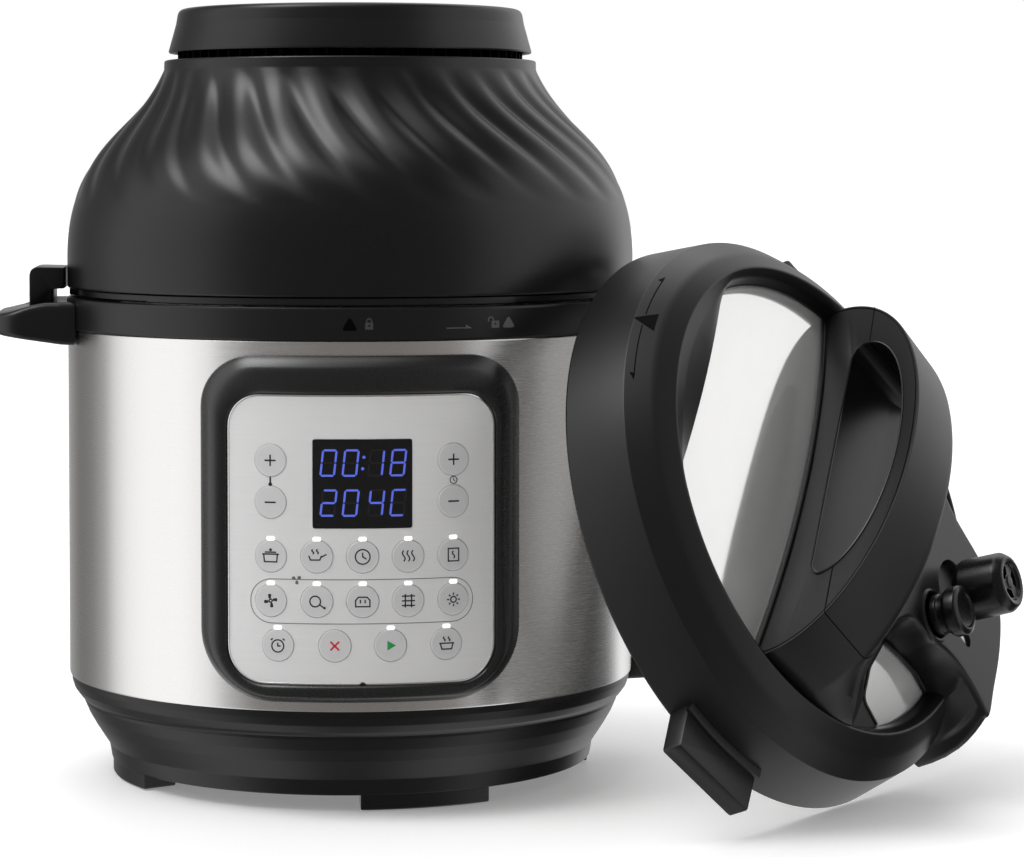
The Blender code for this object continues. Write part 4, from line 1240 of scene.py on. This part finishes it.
def inset_outline(outline, inset):
    """Moves a closed outline inwards along its normals. It runs anticlockwise."""
    points = np.array(outline)
    along = np.roll(points, -1, axis=0) - np.roll(points, 1, axis=0)
    along /= np.linalg.norm(along, axis=1)[:, None]
    normals = np.stack([-along[:, 1], along[:, 0]], axis=1)
    return [tuple(p) for p in points + normals * inset]


def inside(outline, x, y):
    hit = False
    for (x0, y0), (x1, y1) in zip(outline, outline[1:] + outline[:1]):
        if (y0 > y) != (y1 > y) and x < x0 + (x1 - x0) * (y - y0) / (y1 - y0):
            hit = not hit
    return hit


def region(outline, holes, step, height):
    """An even sheet of triangles inside an outline and outside its holes. height(x, y) lifts it."""
    points, edges = [], []
    for ring in [outline] + holes:
        start = len(points)
        points += [Vector(p) for p in ring]
        edges += [(start + i, start + (i + 1) % len(ring)) for i in range(len(ring))]
    low = np.min(np.array(outline), axis=0)
    high = np.max(np.array(outline), axis=0)
    for x in np.arange(low[0], high[0], step):
        for y in np.arange(low[1], high[1], step):
            if inside(outline, x, y) and not any(inside(h, x, y) for h in holes):
                points.append(Vector((x, y)))
    verts, _, faces, *_ = delaunay_2d_cdt(points, edges, [], 0, 1e-7)
    kept = []
    for face in faces:
        x = sum(verts[v].x for v in face) / 3
        y = sum(verts[v].y for v in face) / 3
        if inside(outline, x, y) and not any(inside(h, x, y) for h in holes):
            kept.append(list(face))
    return [(v.x, v.y, height(v.x, v.y)) for v in verts], kept


def tray():
    steps = 8
    edge = [(a * MM, b * MM) for a, b in spline([p[:2] for p in TRAY], steps)]
    foot = [(a * MM, b * MM) for a, b in spline([p[2:] for p in TRAY], steps)]
    front = [(x * MM, 6 * MM) for x in np.linspace(-80, 80, 24)[1:-1]]
    edge += front
    foot += front
    loops = []
    for share in (0.0, 0.2, 0.4, 0.6, 0.72, 0.84, 0.93, 1.0):
        loop = []
        for (x0, y0), (x1, y1) in zip(foot, edge):
            corner = max(1.0 - math.dist((x0, y0), TRAY_CORNER) / CORNER_REACH, 0.0)
            lean = share ** (1.1 + 1.9 * corner)
            x, y = x0 + (x1 - x0) * lean, y0 + (y1 - y0) * lean
            low, high = lid_seat(x0, y0), tray_top(y1) - 0.003
            loop.append((x, y, low + (high - low) * share))
        loops.append(loop)
    for inset, drop in ((0.15, 1.9), (0.5, 0.9), (1.1, 0.3), (1.9, 0.04), (2.6, 0.0)):
        ring = inset_outline(edge, inset * MM)
        loops.append([(x, y, tray_top(y) - drop * MM) for x, y in ring])
    wall = loft(loops, False, False)
    inner = [p[:2] for p in loops[-1]]
    steam = circle(STEAM, 0.0182, 64)
    button = circle(RELEASE, 0.0122, 56)
    x, y = FLOAT
    slot = [(x + a, y + b) for a, b in rounded_box(0.004, -0.0066, 0.0066, 0.0039, 0.0039, 10)]
    top = region(inner, [steam, button, slot], 0.003, lambda a, b: tray_top(b))
    pieces = [wall, top]
    lean = math.tan(TRAY_LEAN)
    for hole, depth, floor in ((steam, 0.005, True), (button, 0.016, True), (slot, 0.007, False)):
        rings = []
        for grow, drop in ((0.0, 0.0), (0.012, 0.00035), (0.015, depth)):
            centre = np.mean(np.array(hole), axis=0)
            ring = []
            for a, b in hole:
                shift = drop * lean
                a1, b1 = centre + (np.array((a, b)) - centre) * (1 - grow)
                ring.append((a1, b1 - shift, tray_top(b) - drop))
            rings.append(ring)
        pieces.append(loft(rings, False, floor))
    add("valve_tray", *joined(pieces), LID_BLACK, "pressure_lid", LID, smooth=38.0)
    rear = [p for p in foot if p[1] > 0.1]
    base = region(rear, [], 0.004, lambda a, b: 0.0125)
    base = (base[0], [f for f in base[1] if min(math.hypot(*base[0][v][:2]) for v in f) > 0.144])
    add("tray_underside", *base, LID_BLACK, "pressure_lid", LID)


def web():
    """The black cover that hugs the steel plate behind the handle, open at its two rear windows."""
    window = [
        (47.0, 64.5, 4), (43.6, 79, 8), (41.2, 99, 14), (45.5, 126, 1), (94, 92, 1), (87, 61, 7),
        (68, 59, 8)
    ]
    bead_limit = 0.1195
    windows = []
    for side in (1, -1):
        shift = 0.0 if side > 0 else -11.0
        shape = [((side * x + shift * (x < 60)) * MM, y * MM, r * MM) for x, y, r in window]
        windows.append(spaced(fillet(shape, steps=8), 160))
    radius = 0.1222
    reach = math.sqrt(radius**2 - 0.0195**2)
    start = math.atan2(-0.0195, reach)
    outline = arc((0.0, 0.0), radius, start, math.pi - start, 200)
    outline += [(x, -0.0195) for x in np.linspace(-reach, reach, 80)[1:-1]]
    sheet = region(outline, [], 0.004, lambda x, y: plate_height(math.hypot(x, y)) + 0.0018)
    count = len(sheet[0])
    under = [(x, y, z - 0.0016) for x, y, z in sheet[0]]
    faces = sheet[1] + [[v + count for v in reversed(f)] for f in sheet[1]]
    rim = len(outline)
    faces += [[i, (i + 1) % rim, (i + 1) % rim + count, i + count] for i in range(rim)]
    cover = add("cover_web", sheet[0] + under, faces, LID_BLACK, "pressure_lid", LID)
    for shape in windows:
        cut(cover, *loft([[(x, y, z) for x, y in shape] for z in (0.02, 0.08)]))
    for number, shape in enumerate(windows, 1):
        within = [math.hypot(*p) < bead_limit for p in shape]
        first = next(i for i, here in enumerate(within) if here and not within[i - 1])
        run = []
        for i in range(first, first + len(shape)):
            x, y = shape[i % len(shape)]
            if not within[i % len(shape)]:
                break
            run.append((x, y, plate_height(math.hypot(x, y)) + 0.0016))
        bead = tube_part(run, 0.0011, 10)
        add(f"window_bead_{number}", *bead, LID_BLACK, "pressure_lid", LID)


def on_tray(spot, height=TRAY_HEIGHT, rise=0.0):
    """A place over the tray, square to its slope: rise above the spot at that height."""
    lean = Matrix.Rotation(-TRAY_LEAN, 4, "X")
    return LID @ Matrix.Translation((*spot, height)) @ lean @ Matrix.Translation((0.0, 0.0, rise))


def boss():
    """The wall round the release button, which stands out past the tray's side."""
    profile = [
        (0.012, -0.003), (0.012, 0.001, 0.0005), (0.0134, 0.0012, 0.0006), (0.0146, -0.0002, 0.001),
        (0.015, -0.0016), (0.013, -0.003)
    ]
    place = on_tray(RELEASE, tray_top(RELEASE[1]))
    lathe("button_boss", profile, LID_BLACK, "pressure_lid", place, 96)


def tabs():
    for side, name in ((-1, "rear_tab"), (1, "front_tab")):
        half, low, high = 0.0285, 0.0008, 0.0124
        inner, outer = 0.147, 0.1728
        loops = []
        for z, inset in (
            (low, 0.9), (low + 0.0003, 0.3), (low + 0.0009, 0.0), (high - 0.0012, 0.0),
            (high - 0.0003, 0.4), (high, 1.2)
        ):
            grow = inset * MM
            outline = [
                (inner, -half + grow), (outer - grow, -half + grow + 0.0006, 0.0015),
                (outer - grow, half - grow - 0.0006, 0.0015), (inner, half - grow)
            ]
            loops.append([(side * a, b, z) for a, b in fillet(outline)])
        add(name, *loft(loops), LID_BLACK, "pressure_lid", LID)
        lip = [(0.15, 0.012), (0.1548, 0.012, 0.0004), (0.1542, 0.0142, 0.0006), (0.15, 0.015)]
        spread = 0.0292 / 0.152
        loops = []
        for i in range(25):
            a = -spread + 2 * spread * i / 24
            loops.append([(side * r * math.cos(a), r * math.sin(a), z) for r, z in fillet(lip)])
        add(name + "_lip", *loft(loops), LID_BLACK, "pressure_lid", LID)


def mirror_plate():
    radii = [0.1233 * i / 30 for i in range(31)]

    def rows(angle):
        top = [(r, plate_at(r * math.cos(angle), r * math.sin(angle))) for r in radii]
        return top + [(r, z - 0.001) for r, z in reversed(top)]

    verts, faces = revolve(rows, 256, False)
    add(
        "crowned_plate", verts, faces, MIRROR_STEEL, "pressure_lid", LID, replaces=["lid_plate"],
        slot="polished_steel"
    )


def arch_outer(count):
    """The handle's outline on its front face: an ellipse over a foot that follows the crowned plate."""
    top = [(0.1215 * math.cos(a), 0.046 + 0.072 * math.sin(a)) for a in np.linspace(0.0, math.pi, 120)]
    foot = [(x, plate_height(min(abs(x), 0.119)) + 0.0007) for x in np.linspace(-0.118, 0.118, 60)]
    return spaced(top + foot, count)


def finger_outline():
    half, low, high, rise = 0.081, 0.0662, 0.108, 0.006
    top = [
        (half * math.cos(a) - 0.003, low + rise + (high - low - rise) * math.sin(a))
        for a in np.linspace(0.0, math.pi, 60)
    ]
    foot = [
        (-half + 0.0015 - 0.003, low + 0.0028), (-half + 0.0075 - 0.003, low),
        (half - 0.0075 - 0.003, low), (half - 0.0015 - 0.003, low + 0.0028)
    ]
    return top + foot


def handle():
    """The arched grip, as rounded sections set round the finger opening."""
    count = 260
    centre = Vector((-0.003, 0.08))
    outer = [Vector(p) for p in arch_outer(count)]
    opening = np.array(finger_outline())
    angles = np.arctan2(opening[:, 1] - centre.y, opening[:, 0] - centre.x)
    order = np.argsort(angles)
    angles, opening = angles[order], opening[order]
    angles = np.concatenate([angles - math.tau, angles, angles + math.tau])
    opening = np.concatenate([opening] * 3)
    front, back = -0.02, 0.02

    def flare(x, z):
        """How much further back the wall stands near the feet."""
        side = clamp((abs(x) - 0.05) / 0.042)
        crest = 0.046 + 0.067 * math.sqrt(max(1.0 - (min(abs(x), 0.121) / 0.1215) ** 2, 0.0))
        down = clamp((crest - z) / max(crest - 0.0485, 0.006))
        room = math.sqrt(max(0.1262**2 - x**2, 0.0)) - back
        softness = 0.005
        depth = -softness * math.log(math.exp(-0.037 / softness) + math.exp(-room / softness))
        return depth * side * side * (3 - 2 * side) * down * down * (3 - 2 * down)

    loops = []
    for spot in outer:
        angle = math.atan2(spot.y - centre.y, spot.x - centre.x)
        inner = Vector((np.interp(angle, angles, opening[:, 0]), np.interp(angle, angles, opening[:, 1])))
        span = (spot - inner).length
        near = min(0.0012, span * 0.2)
        groove = span - 0.0022
        section = [
            (0.0, front + 0.001, near), (0.0, front, near), (groove - 0.0004, front),
            (groove - 0.0002, front + 0.0006), (groove + 0.0003, front + 0.0006),
            (groove + 0.0005, front), (span, front, 0.0016), (span, back, 0.006), (0.0, back, 0.003)
        ]
        loop = []
        for s, y in fillet(section, steps=5):
            share = s / span
            flat = inner + (spot - inner) * share
            back_share = (y - front) / (back - front)
            rise = max(flat.y - 0.046, 0.0) / 0.072
            z = flat.y - 0.005 * back_share * rise * share
            loop.append((flat.x, y + flare(flat.x, z) * back_share, z))
        loops.append(loop)
    loops.append(loops[0])
    add(
        "arched_grip", *loft(loops, False, False), GRIP_BLACK, "pressure_lid", LID,
        replaces=["lid_handle"], smooth=40.0
    )
    seams = []
    for x, z in ((-0.108, 0.0725), (0.1005, 0.0745)):
        nearest = min(range(count), key=lambda i: math.hypot(outer[i].x - x, outer[i].y - z))
        seams.append(tube_part(loops[nearest], 0.00032, 6, True))
    add("grip_seams", *joined(seams), MARK_AND_SHADE_BLACK, "pressure_lid", LID)
    lip = [(x, front - 0.0001, z) for x, z in spaced(finger_outline(), 160)]
    add("grip_lip", *tube_part(lip, 0.0006, 8, True), GLOSS_BLACK, "pressure_lid", LID)
    skirt = []
    for i in range(61):
        x = -0.1165 + 0.233 * i / 60
        skirt.append((x, -0.0206, plate_height(abs(x)) + 0.0014))
    add("grip_gasket", *tube_part(skirt, 0.0013), GLOSS_BLACK, "pressure_lid", LID)


def steam_valve():
    profile = [
        (0.0, 0.029), (0.003, 0.029, 0.0003), (0.0035, 0.0283, 0.0003), (0.0095, 0.0283, 0.0004),
        (0.0104, 0.0299, 0.0006), (0.013, 0.0305, 0.003), (0.016, 0.0265, 0.004), (0.0162, 0.006, 0.002),
        (0.0148, 0.003, 0.001), (0.012, 0.0022, 0.0008), (0.011, 0.0004, 0.0004), (0.0064, 0.0004),
        (0.0064, 0.007), (0.0, 0.007)
    ]
    valve = lathe(
        "steam_cap", profile, GLOSS_BLACK, "steam_valve", on_tray(STEAM, rise=0.003), 96,
        replaces=["steam_valve"]
    )
    for k in range(3):
        middle = math.tau * k / 3 + 0.4
        lobe = arc(
            (0, 0), 0.0086, middle - 0.62, middle + 0.62, 12
        ) + arc((0, 0), 0.0042, middle + 0.5, middle - 0.5, 8)
        cut(valve, *loft([[(a, b, z) for a, b in fillet(lobe, 0.0006)] for z in (0.025, 0.033)]))


def release_button():
    profile = [
        (0.0, 0.0292), (0.0088, 0.0292, 0.0004), (0.0094, 0.03, 0.0004), (0.0106, 0.03, 0.001),
        (0.013, 0.0288, 0.0016), (0.0132, 0.0232, 0.0014), (0.0118, 0.0212, 0.0008),
        (0.01, 0.0206, 0.0008), (0.01, 0.0176, 0.0006), (0.0108, 0.0168, 0.0006), (0.0108, 0.014, 0.0006),
        (0.009, 0.0134, 0.0006), (0.0084, 0.002), (0.0, 0.002)
    ]
    lathe(
        "release_knob", profile, GLOSS_BLACK, "release_button", on_tray(RELEASE, rise=-0.01), 96,
        replaces=["release_button"]
    )


def float_valve():
    x, y = FLOAT
    profile = [
        (0.0, 0.0596), (0.0022, 0.0594, 0.0006), (0.0033, 0.0584, 0.001), (0.0033, 0.05), (0.003, 0.0495),
        (0.003, 0.0288), (0.0059, 0.0286, 0.0004), (0.0059, 0.0263, 0.0004), (0.0, 0.0262)
    ]
    lathe(
        "float_pin", profile, MIRROR_STEEL, "float_valve", LID @ Matrix.Translation((x, y, 0.0)), 40,
        replaces=["float_valve"], slot="brushed_steel"
    )
    outline = rounded_box(0.0035, -0.0061, 0.0061, 0.0034, 0.0034, 10)
    loops = []
    for level, inset in ((0.059, 0.6), (0.059, 0.0), (0.0612, 0.0), (0.0618, 0.3), (0.062, 0.9)):
        ring = inset_outline(outline, inset * MM)
        loops.append([(x + a, y + b, level - b * math.tan(TRAY_LEAN)) for a, b in ring])
    add("float_head", *loft(loops), RIM_SILVER, "float_valve", LID, slot="brushed_steel")


def lid_underside():
    disc = [
        (0.0, 0.036), (0.115, 0.036, 0.006), (0.1332, 0.0238, 0.004), (0.1346, 0.0082, 0.001),
        (0.1392, 0.008, 0.0004), (0.139, 0.0066, 0.0004), (0.1332, 0.0066, 0.0008),
        (0.1318, 0.0228, 0.004), (0.114, 0.0348, 0.006), (0.0, 0.0348)
    ]
    lathe(
        "inner_lid_disc", disc, POT_STEEL, "pressure_lid", LID, replaces=["inner_lid"],
        slot="brushed_steel"
    )
    seal = [
        (0.1306, 0.0214, 0.0008), (0.1306, 0.0076, 0.0008), (0.12, 0.0076, 0.0008),
        (0.12, 0.0098, 0.0008), (0.1274, 0.0106, 0.001), (0.1274, 0.0188, 0.001), (0.12, 0.0196, 0.0008),
        (0.12, 0.0214, 0.0008)
    ]
    lathe(
        "silicone_seal", seal, SILICONE, "pressure_lid", LID, replaces=["sealing_ring"], slot="silicone"
    )


def lid_marks():
    """The arrow and its line on the lid's slope, at the front."""

    slope = fillet(
        [(0.1262, 0.0502), (0.1362, 0.0436, 0.02), (0.1463, 0.0327, 0.0013), (0.1488, 0.02)], 0.0, False,
        5
    )
    lengths = [0.0]
    for (r0, z0), (r1, z1) in zip(slope, slope[1:]):
        lengths.append(lengths[-1] + math.hypot(r1 - r0, z1 - z0))
    rim = lengths[-1] - 0.0127

    def on_slope(a, s, level):
        """a is the angle from the front, s runs from the crest at 0 to the rim at 1."""
        along = 0.0015 + (rim - 0.0015) * s
        r = float(np.interp(along, lengths, [row[0] for row in slope]))
        z = float(np.interp(along, lengths, [row[1] for row in slope]))
        turn = -math.pi / 2 + a
        lift = 0.00018 * level
        return ((r + lift * 0.7) * math.cos(turn), (r + lift * 0.7) * math.sin(turn), z + lift * 0.7)

    triangle = densify([(-0.094, 0.55), (-0.004, 0.55), (-0.048, 1.0)], 0.012)
    add("lid_arrow", *plate([triangle], on_slope, -1.5), MARK_AND_SHADE_BLACK, "pressure_lid", LID)
    line = []
    for low, high in ((-0.3, -0.078), (-0.02, 0.215)):
        points = [(low + (high - low) * i / 24, 0.8) for i in range(25)]
        line.append(plate(stroke(points, 0.022), on_slope, -1.5))
    for tip, back in ((-0.315, -0.285), (0.23, 0.2)):
        head = [(tip, 0.8), (back, 0.89), (back, 0.8)]
        line.append(plate([head if tip > 0 else head[::-1]], on_slope, -1.5))
    add("lid_arrow_line", *joined(line), MARK_AND_SHADE_BLACK, "pressure_lid", LID)


# ---- carried-over nodes


def dress_cad_nodes():
    looks = {
        "bottom_cover": SATIN_BLACK, "locking_ring": PLAIN_STEEL, "temperature_sensor": ALUMINIUM,
        "power_board": BOARD_GREEN, "control_board": BOARD_GREEN, "heat_shield": ALUMINIUM,
        "heating_element": PLAIN_STEEL, "element_guard": PLAIN_STEEL, "fan_motor": PLAIN_STEEL,
        "motor_shaft": PLAIN_STEEL, "convection_fan": ALUMINIUM, "cooling_fan": ALUMINIUM,
        "exhaust_pipe": PLAIN_STEEL
    }
    for name, material in looks.items():
        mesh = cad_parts[name].data
        mesh.materials.clear()
        mesh.materials.append(material)


# ---- studio


def studio():
    floor_material, nodes = principled("floor_paper", (0.92, 0.92, 0.92), 0.55)
    nodes.shader.inputs["Emission Color"].default_value = (1.0, 1.0, 1.0, 1.0)
    nodes.shader.inputs["Emission Strength"].default_value = 0.22
    grain = nodes.noise(nodes.position(), 300.0, 3.0)
    nodes.link(nodes.ramp(grain, 0.5, 0.6), "Roughness")
    ring = circle((0.0, 0.0), 14.0, 96)
    mesh = bpy.data.meshes.new("floor")
    mesh.from_pydata([(x, y, 0.0) for x, y in ring], [], [list(range(len(ring)))])
    mesh.materials.append(floor_material)
    floor = bpy.data.objects.new("floor", mesh)
    bpy.context.scene.collection.objects.link(floor)
    floor.visible_glossy = False

    world = bpy.data.worlds.new("studio")
    bpy.context.scene.world = world
    world.use_nodes = True
    sky = Nodes(world.node_tree)
    calc, link = sky.math, sky.tree.links.new
    place = sky.add("ShaderNodeTexCoord").outputs["Generated"]
    x, y, z = sky.add("ShaderNodeSeparateXYZ", Vector=place).outputs

    def between(value, low, high):
        node = sky.add("ShaderNodeMapRange", Value=value, interpolation_type="SMOOTHSTEP")
        node.inputs["From Min"].default_value = low
        node.inputs["From Max"].default_value = high
        return node.outputs["Result"]

    def spot(direction, wide, narrow):
        aim = Vector(direction).normalized()
        dot = calc("MULTIPLY", x, aim.x)
        dot = calc("ADD", dot, calc("MULTIPLY", y, aim.y))
        dot = calc("ADD", dot, calc("MULTIPLY", z, aim.z))
        return between(dot, math.cos(math.radians(wide)), math.cos(math.radians(narrow)))

    turn = calc("ARCTAN2", x, calc("MULTIPLY", y, -1.0))
    ramp = sky.add("ShaderNodeValToRGB", Fac=calc("ADD", calc("DIVIDE", turn, math.tau), 0.5))
    ramp.color_ramp.interpolation = "EASE"
    stops = ramp.color_ramp.elements
    stops.remove(stops[1])
    stops[0].position = 0.0
    stops[0].color = (0.45, 0.45, 0.45, 1.0)
    for degrees, value, warm in SURROUNDINGS:
        stop = stops.new((degrees + 180.0) / 360.0)
        tint = (1.0, 1.0 - 0.14 * warm, 1.0 - 0.22 * warm)
        stop.color = (*(value * t / 2 for t in tint), 1.0)
    band = calc("SUBTRACT", 1.0, between(z, 0.55, 0.86))
    low_part = sky.add("ShaderNodeVectorMath", operation="SCALE")
    link(ramp.outputs["Color"], low_part.inputs[0])
    card = calc("SUBTRACT", 1.0, calc("MULTIPLY", spot(*FLAG), 0.95))
    link(calc("MULTIPLY", calc("MULTIPLY", band, card), 2.0), low_part.inputs["Scale"])
    total = None
    for direction, wide, narrow, strength in SOFTBOXES:
        glow = calc("MULTIPLY", spot(direction, wide, narrow), strength)
        total = glow if total is None else calc("ADD", total, glow)
    total = calc("ADD", total, calc("MULTIPLY", between(z, 0.55, 0.86), 0.16))
    summed = sky.add("ShaderNodeVectorMath", operation="ADD")
    link(low_part.outputs["Vector"], summed.inputs[0])
    link(total, summed.inputs[1])
    background = sky.tree.nodes["Background"]
    link(summed.outputs["Vector"], background.inputs["Color"])
    white = sky.add("ShaderNodeBackground", Color=(1.0, 1.0, 1.0, 1.0))
    camera_ray = sky.add("ShaderNodeLightPath").outputs["Is Camera Ray"]
    choose = sky.add("ShaderNodeMixShader", Fac=camera_ray)
    link(background.outputs["Background"], choose.inputs[1])
    link(white.outputs["Background"], choose.inputs[2])
    link(choose.outputs["Shader"], sky.tree.nodes["World Output"].inputs["Surface"])


# The studio round the object: (degrees from the front, positive to the right; brightness; warmth)
SURROUNDINGS = (
    (-172.0, 0.5, 0.0), (-158.0, 0.32, 0.1), (-145.0, 0.2, 0.1), (-133.0, 0.24, 0.1), (-120.0, 0.44, 0.1),
    (-111.0, 0.98, 0.0), (-102.0, 1.25, 0.0), (-90.0, 1.34, 0.0), (-74.0, 1.32, 0.0), (-62.0, 1.12, 0.0),
    (-52.0, 0.5, 0.0), (-40.0, 0.26, 0.3), (-10.0, 0.21, 0.4), (14.0, 0.21, 0.4), (40.0, 0.27, 0.4),
    (54.0, 0.7, 0.0), (64.0, 1.12, 0.0), (96.0, 1.16, 0.0), (140.0, 1.16, 0.0), (165.0, 0.65, 0.0)
)
# A dark card low down at the right: (direction, outer and inner angle in degrees)
FLAG = ((0.87, 0.27, -0.41), 38.0, 20.0)
# Brighter lights higher up: (direction, outer and inner angle in degrees, brightness)
SOFTBOXES = (
    ((-0.5, -0.14, 0.855), 20.0, 5.0, 6.8), ((-0.2, -0.14, 0.97), 30.0, 8.0, 1.6),
    ((0.1, 0.6, 0.8), 26.0, 10.0, 1.5)
)


def camera():
    """At the height of the pressure lid's top, a little left of the base's front, looking slightly down."""
    distance, height, side = 1.788, 0.3345, math.radians(2.1)
    turn, down = math.radians(3.8), math.radians(2.825)
    data = bpy.data.cameras.new("camera")
    data.sensor_width = 36.0
    data.lens = 114.27
    data.shift_x = 0.0634
    data.shift_y = -0.1052
    data.clip_start = 0.05
    obj = bpy.data.objects.new("camera", data)
    bpy.context.scene.collection.objects.link(obj)
    obj.location = (AXIS.x - distance * math.sin(side), AXIS.y - distance * math.cos(side), height)
    obj.rotation_euler = (math.pi / 2 - down, 0.0, -turn)
    bpy.context.scene.camera = obj
    bpy.context.scene.view_settings.view_transform = "Standard"


# ---- build

camera()
bottom_housing()
shell()
collar()
collar_marks()
side_handle("left_lug", -1)
side_handle("right_lug", 1)
inlet()
cup()
cooking_well()
bezel()
panel()
display()
keys()
panel_prints()
dome()
cap()
lid_foot()
plug()
cover_ring()
tray()
web()
boss()
tabs()
mirror_plate()
handle()
steam_valve()
release_button()
float_valve()
lid_underside()
lid_marks()
dress_cad_nodes()
studio()
